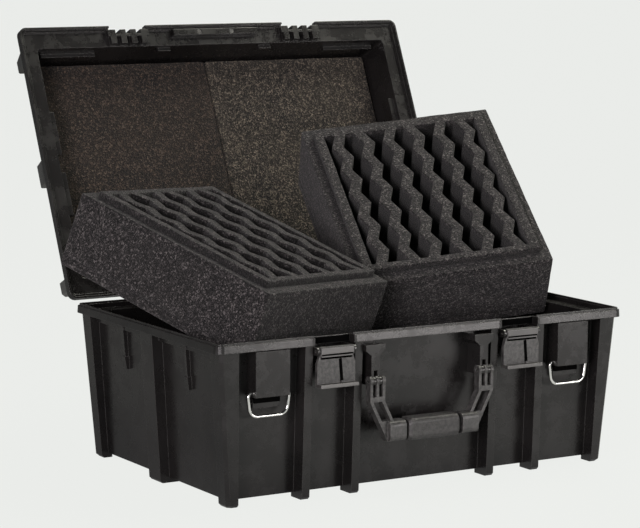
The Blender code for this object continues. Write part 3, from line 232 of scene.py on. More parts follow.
def foam_cells():
    """Open cells of cut polyurethane foam: pits between bright struts, and a slow drift of tone."""
    tree, given, made = effect(
        "foam_cells", ("Cell Size", "Drift Size"), ("Height", "Cell Tone", "Specks", "Drift"),
    )
    fine = sums(tree, "DIVIDE", 1.0, given["Cell Size"])
    grid = scaled(tree, given["Vector"], fine)
    large = place(tree, "ShaderNodeTexVoronoi", {"Vector": grid, "Scale": 1.0, "Randomness": 1.0})
    small = place(tree, "ShaderNodeTexVoronoi", {"Vector": grid, "Scale": SMALL_CELL_SCALE,
                                                 "Randomness": 1.0})
    fuzz = place(tree, "ShaderNodeTexNoise", {"Vector": grid, "Scale": FUZZ_SCALE, "Detail": 4.0,
                                              "Roughness": 0.7})
    small_pits = sums(tree, "MULTIPLY", small.outputs["Distance"], FOAM_PIT_SHARE)
    pits = sums(tree, "ADD", large.outputs["Distance"], small_pits)
    height = sums(tree, "ADD", pits, sums(tree, "MULTIPLY", fuzz.outputs[0], FUZZ_SHARE))
    tree.links.new(height, made["Height"])
    lit = place(tree, "ShaderNodeSeparateColor", {0: large.outputs["Color"]})
    fine_lit = place(tree, "ShaderNodeSeparateColor", {0: small.outputs["Color"]})
    torn = place(tree, "ShaderNodeTexNoise", {"Vector": grid, "Scale": TORN_SCALE, "Detail": 2.0,
                                              "Roughness": 0.6})
    tone = sums(tree, "ADD", sums(tree, "MULTIPLY", lit.outputs[0], LARGE_CELL_SHARE),
                sums(tree, "MULTIPLY", fine_lit.outputs[1], SMALL_CELL_SHARE))
    tone = sums(tree, "ADD", tone, ramp(tree, pits, *PIT_STEP, 0.0, PIT_SHARE))
    tone = sums(tree, "ADD", tone, ramp(tree, torn.outputs[0], *TORN_STEP, -TORN_SHARE, TORN_SHARE))
    tree.links.new(tone, made["Cell Tone"])
    tree.links.new(ramp(tree, lit.outputs[2], *SPECK_STEP), made["Specks"])
    slow = sums(tree, "DIVIDE", 1.0, given["Drift Size"])
    drift = place(tree, "ShaderNodeTexNoise", {"Vector": scaled(tree, given["Vector"], slow), "Scale": 1.0,
                                               "Detail": 3.0})
    tree.links.new(ramp(tree, drift.outputs[0], *DRIFT_STEP), made["Drift"])
    return tree


SKIN, WEAR, DUST, CELLS = moulded_skin(), edge_wear(), settled_dust(), foam_cells()


def use(tree, group, inputs):
    """Adds one of the groups to a material's tree."""
    return place(tree, "ShaderNodeGroup", inputs, node_tree=group).outputs


def blank_material(name):
    """A material with its tree, its shader and the Object coordinates that its patterns read."""
    mat = bpy.data.materials.new(name)
    mat.use_nodes = True
    tree = mat.node_tree
    shader = tree.nodes["Principled BSDF"]
    vector = tree.nodes.new("ShaderNodeTexCoord").outputs["Object"]
    return mat, tree, shader, vector


def mix_colour(tree, share, first, second):
    node = place(tree, "ShaderNodeMix", {0: share, 6: first, 7: second}, data_type="RGBA")
    return node.outputs[2]


def rgba(colour):
    return (*colour, 1.0)


WEAR_SHARE = 0.55
WEAR_PATCH = 16 * MM
DUST_SHARE = 0.10
DUST_SPECK = 5 * MM
DUST_COLOUR = (0.42, 0.41, 0.39)
GRAIN_SHARE = 0.6


def plastic(name, deep, pale, worn, roughness_range, grain, grain_depth, edge=0.9 * MM, specular=0.5,
            tone_size=110 * MM):
    """Moulded plastic: two near tones, paler worn edges, dust on top, and a fine grain in its gloss."""
    mat, tree, shader, vector = blank_material(name)
    skin = use(tree, SKIN, {"Vector": vector, "Grain Size": grain, "Tone Size": tone_size})
    wear = use(tree, WEAR, {"Vector": vector, "Width": edge, "Patch Size": WEAR_PATCH})
    dust = use(tree, DUST, {"Vector": vector, "Speck Size": DUST_SPECK})
    tone = mix_colour(tree, skin["Tone"], rgba(deep), rgba(pale))
    tone = mix_colour(tree, sums(tree, "MULTIPLY", wear["Mask"], WEAR_SHARE), tone, rgba(worn))
    tone = mix_colour(tree, sums(tree, "MULTIPLY", dust["Mask"], DUST_SHARE), tone, rgba(DUST_COLOUR))
    tree.links.new(tone, shader.inputs["Base Color"])
    low, high = roughness_range
    tree.links.new(ramp(tree, skin["Gloss"], 0.0, 1.0, low, high), shader.inputs["Roughness"])
    soft = place(tree, "ShaderNodeBevel", {"Radius": edge}, samples=EDGE_SAMPLES)
    bump = place(tree, "ShaderNodeBump", {"Strength": GRAIN_SHARE, "Distance": grain_depth,
                                          "Height": skin["Height"], "Normal": soft.outputs[0]})
    tree.links.new(bump.outputs[0], shader.inputs["Normal"])
    shader.inputs["Specular IOR Level"].default_value = specular
    return mat


CELL_CONTRAST = 4.5          # power that sets the bright cells apart
DRIFT_SHARE = 0.25
DRIFT_SIZE = 80 * MM
SPECK_SHARE = 0.38
CELL_RELIEF = 0.9 * MM
CELL_RELIEF_SHARE = 0.9
# Painted shade: the near-black that the stored mark mixes into the foam, and how far
SLOT_SHADE_SHARE = 0.96
SLOT_SHADE_COLOUR = (0.001, 0.001, 0.001)
FOAM_FINISH = {"Roughness": 0.97, "Specular IOR Level": 0.18, "Sheen Weight": 0.10, "Sheen Roughness": 0.6}


def foam(name, deep, strut, speck, warm, cell=1.55 * MM):
    """Charcoal foam: every cell has its own tone, a few are bright, and all drift towards a warmer one;
    painted shade turns it near black where its points are marked.
    """
    mat, tree, shader, vector = blank_material(name)
    cells = use(tree, CELLS, {"Vector": vector, "Cell Size": cell, "Drift Size": DRIFT_SIZE})
    share = sums(tree, "POWER", cells["Cell Tone"], CELL_CONTRAST)
    tone = mix_colour(tree, share, rgba(deep), rgba(strut))
    tone = mix_colour(tree, sums(tree, "MULTIPLY", cells["Drift"], DRIFT_SHARE), tone, rgba(warm))
    tone = mix_colour(tree, sums(tree, "MULTIPLY", cells["Specks"], SPECK_SHARE), tone, rgba(speck))
    # Painted shade: where the stored mark says, the foam turns near black
    depth = place(tree, "ShaderNodeAttribute", attribute_name=PAINTED_SHADE_MARK)
    slot_shade = ramp(tree, depth.outputs["Fac"], 0.0, 1.0, 0.0, SLOT_SHADE_SHARE)
    tree.links.new(mix_colour(tree, slot_shade, tone, rgba(SLOT_SHADE_COLOUR)), shader.inputs["Base Color"])
    bump = place(tree, "ShaderNodeBump", {"Strength": CELL_RELIEF_SHARE, "Distance": CELL_RELIEF,
                                          "Height": cells["Height"]})
    tree.links.new(bump.outputs[0], shader.inputs["Normal"])
    for socket, value in FOAM_FINISH.items():
        shader.inputs[socket].default_value = value
    return mat


METAL_TONE_SIZE = 20 * MM
METAL_DIMMED_SHARE = 0.86
SCRATCH_SHARE = 0.3


def metal(name, colour, roughness_range, grain, bump_depth):
    """Polished or drawn metal with faint scratches in its gloss."""
    mat, tree, shader, vector = blank_material(name)
    skin = use(tree, SKIN, {"Vector": vector, "Grain Size": grain, "Tone Size": METAL_TONE_SIZE})
    dimmed = tuple(c * METAL_DIMMED_SHARE for c in colour)
    tree.links.new(mix_colour(tree, skin["Tone"], rgba(colour), rgba(dimmed)), shader.inputs["Base Color"])
    low, high = roughness_range
    tree.links.new(ramp(tree, skin["Gloss"], 0.0, 1.0, low, high), shader.inputs["Roughness"])
    bump = place(tree, "ShaderNodeBump", {"Strength": SCRATCH_SHARE, "Distance": bump_depth,
                                          "Height": skin["Height"]})
    tree.links.new(bump.outputs[0], shader.inputs["Normal"])
    shader.inputs["Metallic"].default_value = 1.0
    return mat


# Plastics: deep tone, pale tone, worn tone, range of roughness, size and depth of the grain
SHELL = plastic(
    "shell_plastic", (0.0050, 0.0046, 0.0045), (0.0112, 0.0102, 0.0100), (0.085, 0.082, 0.078),
    (0.22, 0.36), 0.9 * MM, 0.05 * MM,
)
HARDWARE = plastic(
    "hardware_plastic", (0.012, 0.0116, 0.0112), (0.048, 0.0468, 0.0450), (0.24, 0.235, 0.225),
    (0.38, 0.62), 1.3 * MM, 0.34 * MM, edge=0.7 * MM, specular=0.75, tone_size=4 * MM,
)
GRIP = plastic(
    "grip_rubber", (0.014, 0.0136, 0.0132), (0.040, 0.0390, 0.0376), (0.15, 0.145, 0.14),
    (0.46, 0.68), 1.1 * MM, 0.26 * MM, edge=0.6 * MM, specular=0.6, tone_size=4 * MM,
)
# Pale plastic whose paleness is a painted highlight on the latch bars and lips; its edges also wear paler
HIGHLIGHT_PLASTIC = plastic(
    "worn_plastic", (0.060, 0.059, 0.057), (0.095, 0.093, 0.090), (0.30, 0.295, 0.285),
    (0.38, 0.52), 1.2 * MM, 0.25 * MM, edge=0.6 * MM, specular=0.8,
)
# Near-black plastic for blocks that paint shade in gaps, grooves and notches
SHADE_BLACK = plastic(
    "deep_gap", (0.0008, 0.0008, 0.0008), (0.0012, 0.0011, 0.0011), (0.002, 0.002, 0.002),
    (0.9, 1.0), 0.9 * MM, 0.02 * MM, specular=0.04,
)

# Metals: colour, range of roughness, size and depth of the scratches
STEEL = metal("pin_steel", (0.60, 0.60, 0.58), (0.22, 0.40), 0.4 * MM, 0.02 * MM)
CHROME = metal("ring_chrome", (0.80, 0.80, 0.78), (0.06, 0.17), 0.8 * MM, 0.01 * MM)

# Foams: the colours of a cell's pit, its struts, its bright specks and the warmer drift
TRAY_FOAM = foam(
    "tray_foam", (0.0008, 0.0007, 0.0008), (0.210, 0.190, 0.190), (0.270, 0.250, 0.244),
    (0.012, 0.0108, 0.0098),
)
SHEET_FOAM = foam(
    "sheet_foam_brown", (0.0012, 0.0008, 0.0005), (0.175, 0.120, 0.085), (0.180, 0.138, 0.102),
    (0.022, 0.0144, 0.0088),
)
# The right lid sheet's foam: a paler tan, made paler still by painted light from the right
SHEET_FOAM_PALE_LIT = foam(
    "sheet_foam_grey", (0.0012, 0.0010, 0.0007), (0.390, 0.322, 0.250), (0.330, 0.284, 0.222),
    (0.048, 0.0390, 0.0270),
)


def piece(name, mesh, mat, slot, body, *stands_for):
    """Puts a finished mesh, drawn in its place, on a body, in the room of CAD nodes."""
    made = bpy.data.objects.new(name, mesh)
    bpy.context.scene.collection.objects.link(made)
    mesh.materials.clear()
    mesh.materials.append(mat)
    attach(made, body)
    if stands_for:
        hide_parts(*stands_for)
    return made


def polygon_area(loop):
    """Area of an outline, negative where it runs clockwise."""
    total = 0.0
    for k, (x, y) in enumerate(loop):
        x1, y1 = loop[(k + 1) % len(loop)]
        total += x * y1 - x1 * y
    return total / 2


def spaced(loop):
    """The same outline with points about FOAM_STEP apart."""
    points = []
    for k, corner in enumerate(loop):
        a, b = Vector(corner), Vector(loop[(k + 1) % len(loop)])
        parts = max(1, round((b - a).length / FOAM_STEP))
        points += [tuple(a.lerp(b, n / parts)) for n in range(parts)]
    return points


def offset_loop(loop, distance):
    """An anticlockwise outline moved outwards by distance, corner by corner."""
    moved = []
    count = len(loop)
    for k in range(count):
        before, here, after = Vector(loop[k - 1]), Vector(loop[k]), Vector(loop[(k + 1) % count])
        first, second = (here - before).normalized(), (after - here).normalized()
        normal = Vector((first.y + second.y, -first.x - second.x))
        normal = normal.normalized() if normal.length > 0 else Vector((first.y, -first.x))
        spread = max(0.5, normal.dot(Vector((first.y, -first.x))))
        moved.append(tuple(here + normal * distance / spread))
    return moved


def rounded_rectangle(half_x, half_y, radius, steps=5, centre=(0.0, 0.0)):
    """Anticlockwise points of a rectangle with rounded corners."""
    points = []
    for sign_x, sign_y, quarter in ((1, 1, 0), (-1, 1, 1), (-1, -1, 2), (1, -1, 3)):
        for step in range(steps + 1):
            angle = math.pi / 2 * (quarter + step / steps)
            points.append((
                centre[0] + sign_x * (half_x - radius) + radius * math.cos(angle),
                centre[1] + sign_y * (half_y - radius) + radius * math.sin(angle),
            ))
    return points


def inside(point, loop):
    """Whether a point lies in an outline."""
    crossings = 0
    x, y = point
    for k, (x0, y0) in enumerate(loop):
        x1, y1 = loop[k - 1]
        if (y0 > y) != (y1 > y) and x < x0 + (y - y0) / (y1 - y0) * (x1 - x0):
            crossings += 1
    return crossings % 2 == 1


def flat_face(outline, holes, z):
    """Triangles that fill an outline round its holes at height z, with points between on a grid."""
    loops = [outline, *holes]
    points, edges = [], []
    for loop in loops:
        start = len(points)
        points += [Vector(p) for p in loop]
        edges += [(start + k, start + (k + 1) % len(loop)) for k in range(len(loop))]
    reach = FACE_GRID * FACE_REACH_SHARE
    xs, ys = [p.x for p in points], [p.y for p in points]
    edge_points = [p.copy() for p in points]
    columns = int((max(xs) - min(xs)) / FACE_GRID)
    rows = int((max(ys) - min(ys)) / FACE_GRID)
    for i in range(1, columns):
        for j in range(1, rows):
            p = Vector((min(xs) + i * FACE_GRID, min(ys) + j * FACE_GRID))
            if all(abs(p.x - q.x) > reach or abs(p.y - q.y) > reach for q in edge_points):
                points.append(p)
    found = delaunay_2d_cdt(points, edges, [], 1, DRAW_TOLERANCE)
    kept = []
    for face in found[2]:
        middle = sum((found[0][k] for k in face), Vector((0.0, 0.0))) / len(face)
        if not any(inside(middle, hole) for hole in holes):
            kept.append(tuple(face))
    return [(p.x, p.y, z) for p in found[0]], kept


def walls(loop_levels):
    """Quads between stacked outlines with the same number of points."""
    count = len(loop_levels[0][0])
    points = [(x, y, z) for loop, z in loop_levels for x, y in loop]
    faces = []
    for level in range(len(loop_levels) - 1):
        a, b = level * count, (level + 1) * count
        for k in range(count):
            n = (k + 1) % count
            faces.append((a + k, a + n, b + n, b + k))
    return points, faces


def edge_levels(outline, low, high, outwards, round_low=True, rows=WALL_ROWS):
    """Levels of a wall with rounded edges; outwards is 1 for a body and -1 for a hole."""
    levels = []
    if round_low:
        for inset, drop in zip(QUARTER_INSETS, QUARTER_DROPS):
            levels.append((offset_loop(outline, -outwards * FOAM_EDGE * inset), low + FOAM_EDGE * drop))
    else:
        levels.append((outline, low))
    inner_low = low + FOAM_EDGE if round_low else low
    inner_high = high - FOAM_EDGE
    for k in range(1, rows):
        levels.append((outline, inner_low + (inner_high - inner_low) * k / rows))
    for inset, drop in zip(QUARTER_INSETS[::-1], QUARTER_DROPS[::-1]):
        levels.append((offset_loop(outline, -outwards * FOAM_EDGE * inset), high - FOAM_EDGE * drop))
    return levels


def stitched(shells):
    """One closed mesh from face sets that share their border points."""
    bm = bmesh.new()
    for points, faces in shells:
        made = [bm.verts.new(p) for p in points]
        for face in faces:
            bm.faces.new([made[k] for k in face])
    bmesh.ops.remove_doubles(bm, verts=bm.verts, dist=MERGE_REACH)
    bmesh.ops.recalc_face_normals(bm, faces=bm.faces)
    mesh = bpy.data.meshes.new("foam")
    bm.to_mesh(mesh)
    bm.free()
    return mesh


def anticlockwise(loop):
    return loop if polygon_area(loop) > 0 else loop[::-1]


def slot_edge(line, side):
    """One zigzag edge of a strip from the front of the window to its back."""
    window_x = BLOCK_WIDTH / 2 - PLATEAU_INSET_X - WINDOW_BORDER_X
    window_y = BLOCK_LENGTH / 2 - PLATEAU_INSET_Y - WINDOW_BORDER_Y
    if line in (0, STRIP_COUNT + 1):
        x = -window_x if line == 0 else window_x
        return [(x, -window_y), (x, window_y)]
    middle = (line - (STRIP_COUNT + 1) / 2) * 2 * window_x / STRIP_COUNT
    phase = -1 if line % 2 else 1
    return [
        (middle + side * STRIP_WIDTH / 2 + phase * (-1) ** k * ZIGZAG_SWING,
         -window_y + 2 * window_y * k / ZIGZAG_TURNS)
        for k in range(ZIGZAG_TURNS + 1)
    ]


def slot_loops():
    """Outlines of the zigzag slots."""
    loops = []
    for line in range(STRIP_COUNT + 1):
        loop = slot_edge(line, 1) + slot_edge(line + 1, -1)[::-1]
        loops.append(spaced(anticlockwise(loop)))
    return loops


def tray_block_mesh():
    """A slotted block with a stepped top, closed and finely divided, round the middle of its step."""
    half_x, half_y = BLOCK_HALVES
    top_x, top_y = half_x - PLATEAU_INSET_X, half_y - PLATEAU_INSET_Y
    outer = spaced(rounded_rectangle(half_x, half_y, BLOCK_CORNER))
    plateau = spaced(rounded_rectangle(top_x, top_y, BLOCK_CORNER))
    slots = slot_loops()
    low, high = -BLOCK_DEPTH + FOAM_SKIN, PLATEAU_RISE
    outer_levels = edge_levels(outer, low, 0.0, 1)
    plateau_levels = edge_levels(plateau, 0.0, high, 1, round_low=False, rows=2)
    slot_levels = [edge_levels(slot, low, high, -1) for slot in slots]
    shells = [walls(levels) for levels in (outer_levels, plateau_levels, *slot_levels)]
    shells.append(flat_face(outer_levels[-1][0], [plateau_levels[0][0]], 0.0))
    shells.append(flat_face(plateau_levels[-1][0], [levels[-1][0] for levels in slot_levels], high))
    shells.append(flat_face(outer_levels[0][0], [levels[0][0] for levels in slot_levels], low))
    # Painted shade is stored on the points: black down in the slots, dark on the step's short wall
    block = paint_slot_shade(stitched(shells), top_x - WINDOW_BORDER_X / 2, top_y - WINDOW_BORDER_Y / 2, high)
    return paint_step_shade(block, top_x, top_y, high)


def paint_slot_shade(mesh, reach_x, reach_y, high):
    """Stores painted shade for the slot walls by depth: 0 at the top, 1 (black) from the shade depth down.
    """
    shade = mesh.attributes.new(PAINTED_SHADE_MARK, "FLOAT", "POINT")
    for k, vertex in enumerate(mesh.vertices):
        x, y, z = vertex.co
        if abs(x) < reach_x and abs(y) < reach_y:
            shade.data[k].value = min(1.0, max(0.0, (high - z) / PAINTED_SHADE_DEPTH))
    return mesh


def paint_step_shade(mesh, top_x, top_y, high):
    """Paints shade on the short wall that rises from the step, as the photo has it, up to its rounded edge.
    """
    shade = mesh.attributes[PAINTED_SHADE_MARK]
    for k, vertex in enumerate(mesh.vertices):
        x, y, z = vertex.co
        on_plateau = abs(x) < top_x + STEP_REACH and abs(y) < top_y + STEP_REACH
        at_wall = abs(x) > top_x - FOAM_EDGE or abs(y) > top_y - FOAM_EDGE
        if on_plateau and at_wall and z > -STEP_REACH:
            shade.data[k].value = STEP_PAINTED_SHADE * min(1.0, (high - z) / (2 * FOAM_EDGE))
    return mesh


def slab_mesh(half_x, half_y, low, high, corner, centre=(0.0, 0.0)):
    """A plain foam sheet with soft edges."""
    outline = spaced(rounded_rectangle(half_x, half_y, corner, centre=centre))
    levels = edge_levels(outline, low, high, 1, rows=2)
    return stitched([walls(levels), flat_face(levels[0][0], [], low), flat_face(levels[-1][0], [], high)])


def roughen(mesh, amount=1.0):
    """Lets the cut faces wander a little, as foam does under the knife."""
    for vertex in mesh.vertices:
        wave = noise.noise_vector(vertex.co / WAVE_SIZE) * FOAM_WAVE
        ripple = noise.noise_vector(vertex.co / RIPPLE_SIZE) * RIPPLE
        vertex.co += (wave + ripple) * amount
    return mesh


def smooth_by_angle(mesh, degrees):
    mesh.shade_smooth()
    mesh.set_sharp_from_angle(angle=math.radians(degrees))
    return mesh


def node_points(name):
    return [v.co.copy() for v in NODES[name].data.vertices]


def corners(points):
    """The low and the high corner of the box round some points."""
    return tuple(Vector([pick(p[k] for p in points) for k in range(3)]) for pick in (min, max))


TRAY_TURNS = {
    "upper_tray_left": (math.radians(19.2), math.radians(3.3), math.radians(24.5)),
    "upper_tray_right": (math.radians(35.2), math.radians(-6.0), math.radians(-18.6)),
}


def tray_place(name):
    """The matrix of a tray's origin, found from its turn and the middle of its packed block."""
    turn = Euler(TRAY_TURNS.get(name, (0.0, 0.0, 0.0)), "XYZ").to_matrix()
    low, high = corners([turn.transposed() @ p for p in node_points(f"{name}_block")])
    middle = (low + high) / 2
    middle.z = low.z + BLOCK_DEPTH
    return Matrix.Translation(turn @ middle) @ turn.to_4x4()


def cut_foam_trays():
    """The four trays, each a slotted block on its base sheet."""
    block = tray_block_mesh()
    base_high = -BLOCK_DEPTH - BASE_GAP - FOAM_SKIN
    base = slab_mesh(*BLOCK_HALVES, base_high - BASE_DEPTH + 2 * FOAM_SKIN, base_high, BLOCK_CORNER)
    made = []
    for name, body in (
        ("lower_tray_left", "left_lower_tray"), ("lower_tray_right", "right_lower_tray"),
        ("upper_tray_left", "left_upper_tray"), ("upper_tray_right", "right_upper_tray"),
    ):
        matrix = tray_place(name)
        for part, mesh in (("block", block), ("base", base)):
            own = mesh.copy()
            own.transform(matrix)
            roughen(own, 1.0 if part == "block" else BASE_UNEVEN_SHARE)
            smooth_by_angle(own, SMOOTH_BELOW)
            tray = piece(f"{name}_{part}_foam", own, TRAY_FOAM, "foam", body, f"{name}_{part}")
            made.append(tray)
    return made


def cut_sheet(name, low, high, corner, lay, uneven, mat, body):
    """A foam sheet that fills the box of its CAD node, drawn flat and then laid in its place."""
    middle, half = (low + high) / 2, (high - low) / 2
    mesh = slab_mesh(half.x - FOAM_SKIN, half.y - FOAM_SKIN, low.z + FOAM_SKIN, high.z - FOAM_SKIN, corner,
                     centre=(middle.x, middle.y))
    mesh.transform(lay)
    roughen(mesh, uneven)
    smooth_by_angle(mesh, SMOOTH_BELOW)
    piece(f"{name}_sheet", mesh, mat, "foam", body, name)


def cut_foam_sheets():
    """Foam sheets in the lid, and the pads under the trays."""
    lay = Matrix.Translation(HINGE_POINT) @ Matrix.Rotation(LID_TURN, 4, "X")
    # The right sheet's paler foam holds painted light from the right
    for side, mat in (("left", SHEET_FOAM), ("right", SHEET_FOAM_PALE_LIT)):
        name = f"lid_foam_{side}"
        low, high = corners([lay.inverted() @ p for p in node_points(name)])
        cut_sheet(name, low, high, SHEET_CORNER, lay, SHEET_UNEVEN_SHARE, mat, "lid")
    for side in ("left", "right"):
        name = f"floor_pad_{side}"
        low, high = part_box(name)
        cut_sheet(name, low, high, PAD_CORNER, Matrix(), BASE_UNEVEN_SHARE, TRAY_FOAM, "case")


# Camera, fitted to the photograph's edges
CAMERA_PLACE = Vector((-1.6313, -2.5867, 0.6537))
CAMERA_YAW = math.radians(30.142)
CAMERA_PITCH = math.radians(7.648)
CAMERA_ROLL = math.radians(0.171)
SENSOR = 36.0
LENS = 143.76
SHIFT = (0.1010, -0.0142)
SIGHT = 50.0


def camera():
    """The photograph's camera, turned by its yaw, pitch and roll."""
    ahead = Vector((
        math.sin(CAMERA_YAW) * math.cos(CAMERA_PITCH), math.cos(CAMERA_YAW) * math.cos(CAMERA_PITCH),
        -math.sin(CAMERA_PITCH),
    ))
    level = Vector((math.cos(CAMERA_YAW), -math.sin(CAMERA_YAW), 0.0))
    up = level.cross(ahead)
    right = math.cos(CAMERA_ROLL) * level + math.sin(CAMERA_ROLL) * up
    top = -math.sin(CAMERA_ROLL) * level + math.cos(CAMERA_ROLL) * up
    lens = bpy.data.cameras.new("camera")
    lens.sensor_width = SENSOR
    lens.lens = LENS
    lens.shift_x, lens.shift_y = SHIFT
    lens.clip_end = SIGHT
    seat = bpy.data.objects.new("camera", lens)
    bpy.context.scene.collection.objects.link(seat)
    turn = Matrix((right, top, -ahead)).transposed().to_4x4()
    seat.matrix_world = Matrix.Translation(CAMERA_PLACE) @ turn
    bpy.context.scene.camera = seat


STUDIO_WHITE = (0.823, 0.838, 0.815)
FLOOR_WHITE = (0.862, 0.878, 0.854)
FLOOR_LEVEL = -6.2 * MM
FLOOR_REACH = 30.0
LIT_SIDE = (0.55, -0.82, 0.16)    # the brighter side of the studio, seen from the case
CAMERA_SHARE = 0.95               # how much of the floor's tone is steady for what looks at it
GLOSS_SHARE = 0.47
DIM_SHARE = 0.36                  # of the dim side's floor, against the lit side's, in a reflection
FLOOR_STEP = (-0.35, 0.45)        # from the dim to the lit side on the floor
ROOM_STEP = (-0.9, 0.9)           # the same for the room round it
BAND_HEIGHTS = (0.22, 0.42)       # the lit side is bright near the horizon and fades upwards
OLIVE_TINT = (1.0, 0.985, 0.87)
ROSE_TINT = (1.0, 0.925, 0.95)
WARM_TINT = (1.0, 0.945, 0.93)
FLOOR_DIM, FLOOR_LIT = (0.24, 0.24, 0.235), (0.42, 0.425, 0.415)
ROOM_DIM, ROOM_LIT = (0.10, 0.10, 0.10), (0.46, 0.47, 0.47)

# Each lamp's place, what it faces, its size in metres, its power and its tint
SOFTBOXES = {
    "overhead": ((1.15, 0.15, 1.9), (0.0, 0.0, 0.2), (1.3, 1.1), 43.0, OLIVE_TINT),
    "left_front": ((-2.3, -1.75, 0.8), (0.0, 0.0, 0.25), (1.0, 1.2), 74.0, ROSE_TINT),
    "right_front": ((1.25, -2.05, 0.36), (0.0, -0.1, 0.18), (0.84, 0.50), 15.0, WARM_TINT),
}


def softbox(name, place_at, aim, size, power, tint):
    """A rectangular lamp that faces a point."""
    lamp = bpy.data.lights.new(name, "AREA")
    lamp.shape = "RECTANGLE"
    lamp.size, lamp.size_y = size
    lamp.energy = power
    lamp.color = tint
    seat = bpy.data.objects.new(name, lamp)
    bpy.context.scene.collection.objects.link(seat)
    seat.location = place_at
    seat.rotation_mode = "QUATERNION"
    seat.rotation_quaternion = (Vector(aim) - Vector(place_at)).to_track_quat("-Z", "Y")


def side_light(tree, vector, step):
    """0 on the studio's dim side and 1 on its lit side."""
    facing = place(tree, "ShaderNodeVectorMath", {0: vector, 1: LIT_SIDE}, operation="DOT_PRODUCT")
    return ramp(tree, facing.outputs["Value"], *step)


def seen_share(tree):
    """How much of the plain background a ray sees: nearly all for the camera, part for a reflection."""
    path = tree.nodes.new("ShaderNodeLightPath")
    mirrored = sums(tree, "MAXIMUM", path.outputs["Is Glossy Ray"], path.outputs["Is Transmission Ray"])
    return path.outputs["Is Camera Ray"], sums(tree, "MULTIPLY", mirrored, GLOSS_SHARE)


def backdrop_material():
    """Pale floor: mostly a steady white for what looks at it, with some real shading for its shadow."""
    mat = bpy.data.materials.new("studio_floor")
    mat.use_nodes = True
    tree = mat.node_tree
    shader = tree.nodes["Principled BSDF"]
    place_on_floor = tree.nodes.new("ShaderNodeTexCoord").outputs["Object"]
    lit = side_light(tree, place_on_floor, FLOOR_STEP)
    tone = mix_colour(tree, lit, rgba(FLOOR_DIM), rgba(FLOOR_LIT))
    tree.links.new(tone, shader.inputs["Base Color"])
    shader.inputs["Roughness"].default_value = 0.9
    camera_ray, mirrored = seen_share(tree)
    side_share = ramp(tree, lit, 0.0, 1.0, DIM_SHARE, 1.0)
    share = sums(tree, "MAXIMUM", sums(tree, "MULTIPLY", camera_ray, CAMERA_SHARE),
                 sums(tree, "MULTIPLY", mirrored, side_share))
    glow = place(tree, "ShaderNodeEmission", {"Color": rgba(FLOOR_WHITE), "Strength": 1.0})
    mixed = place(tree, "ShaderNodeMixShader", {0: share, 1: shader.outputs[0], 2: glow.outputs[0]})
    tree.links.new(mixed.outputs[0], tree.nodes["Material Output"].inputs["Surface"])
    return mat


def studio_floor():
    """The plane that the case stands on and that fills the background."""
    bm = bmesh.new()
    bmesh.ops.create_grid(bm, x_segments=1, y_segments=1, size=FLOOR_REACH)
    mesh = bpy.data.meshes.new("floor")
    bm.to_mesh(mesh)
    bm.free()
    floor = bpy.data.objects.new("floor", mesh)
    bpy.context.scene.collection.objects.link(floor)
    floor.location.z = FLOOR_LEVEL
    mesh.materials.append(backdrop_material())


def studio_room():
    """The world: white for the camera, and a dim room with one lit side for what the light bounces off."""
    world = bpy.data.worlds.new("studio")
    bpy.context.scene.world = world
    world.use_nodes = True
    tree = world.node_tree
    dim = tree.nodes["Background"]
    direction = tree.nodes.new("ShaderNodeTexCoord").outputs["Generated"]
    lit = side_light(tree, direction, ROOM_STEP)
    height = place(tree, "ShaderNodeSeparateXYZ", {0: direction}).outputs["Z"]
    lit = sums(tree, "MULTIPLY", lit, ramp(tree, height, *BAND_HEIGHTS, 1.0, 0.0))
    tree.links.new(mix_colour(tree, lit, rgba(ROOM_DIM), rgba(ROOM_LIT)), dim.inputs["Color"])
    dim.inputs["Strength"].default_value = 1.0
    seen = place(tree, "ShaderNodeBackground", {"Color": rgba(STUDIO_WHITE), "Strength": 1.0})
    camera_ray, mirrored = seen_share(tree)
    share = sums(tree, "MAXIMUM", camera_ray, sums(tree, "MULTIPLY", mirrored, lit))
    mixed = place(tree, "ShaderNodeMixShader", {0: share, 1: dim.outputs[0], 2: seen.outputs[0]})
    tree.links.new(mixed.outputs[0], tree.nodes["World Output"].inputs["Surface"])


def studio():
    studio_floor()
    studio_room()
    for name, settings in SOFTBOXES.items():
        softbox(name, *settings)


RING_SIDES = 24
RING_BEND_STEPS = 14
RING_WIRE = 1.9 * MM
RING_TOP_BEND = 5.2 * MM
RING_LOW_BEND = 10.5 * MM
RING_TAPER = 7.5 * MM        # how much narrower the ring is at its bottom
RING_WIDER = 4.5 * MM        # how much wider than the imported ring, as in the photograph
RING_LONGER = 2.0 * MM


def growth(name, inputs):
    """An empty geometry node tree with named inputs and one geometry output."""
    tree = bpy.data.node_groups.new(name, "GeometryNodeTree")
    for label, kind in inputs:
        tree.interface.new_socket(label, in_out="INPUT", socket_type=kind)
    tree.interface.new_socket("Geometry", in_out="OUTPUT", socket_type="NodeSocketGeometry")
    entry = tree.nodes.new("NodeGroupInput")
    leave = tree.nodes.new("NodeGroupOutput")
    return tree, entry.outputs, leave.inputs


def finish_growth(tree, geometry, given, leave):
    """Ends a tree in real geometry with its material."""
    solid = place(tree, "GeometryNodeRealizeInstances", {0: geometry})
    painted = place(tree, "GeometryNodeSetMaterial", {
        "Geometry": solid.outputs[0], "Material": given["Material"],
    })
    tree.links.new(painted.outputs[0], leave["Geometry"])


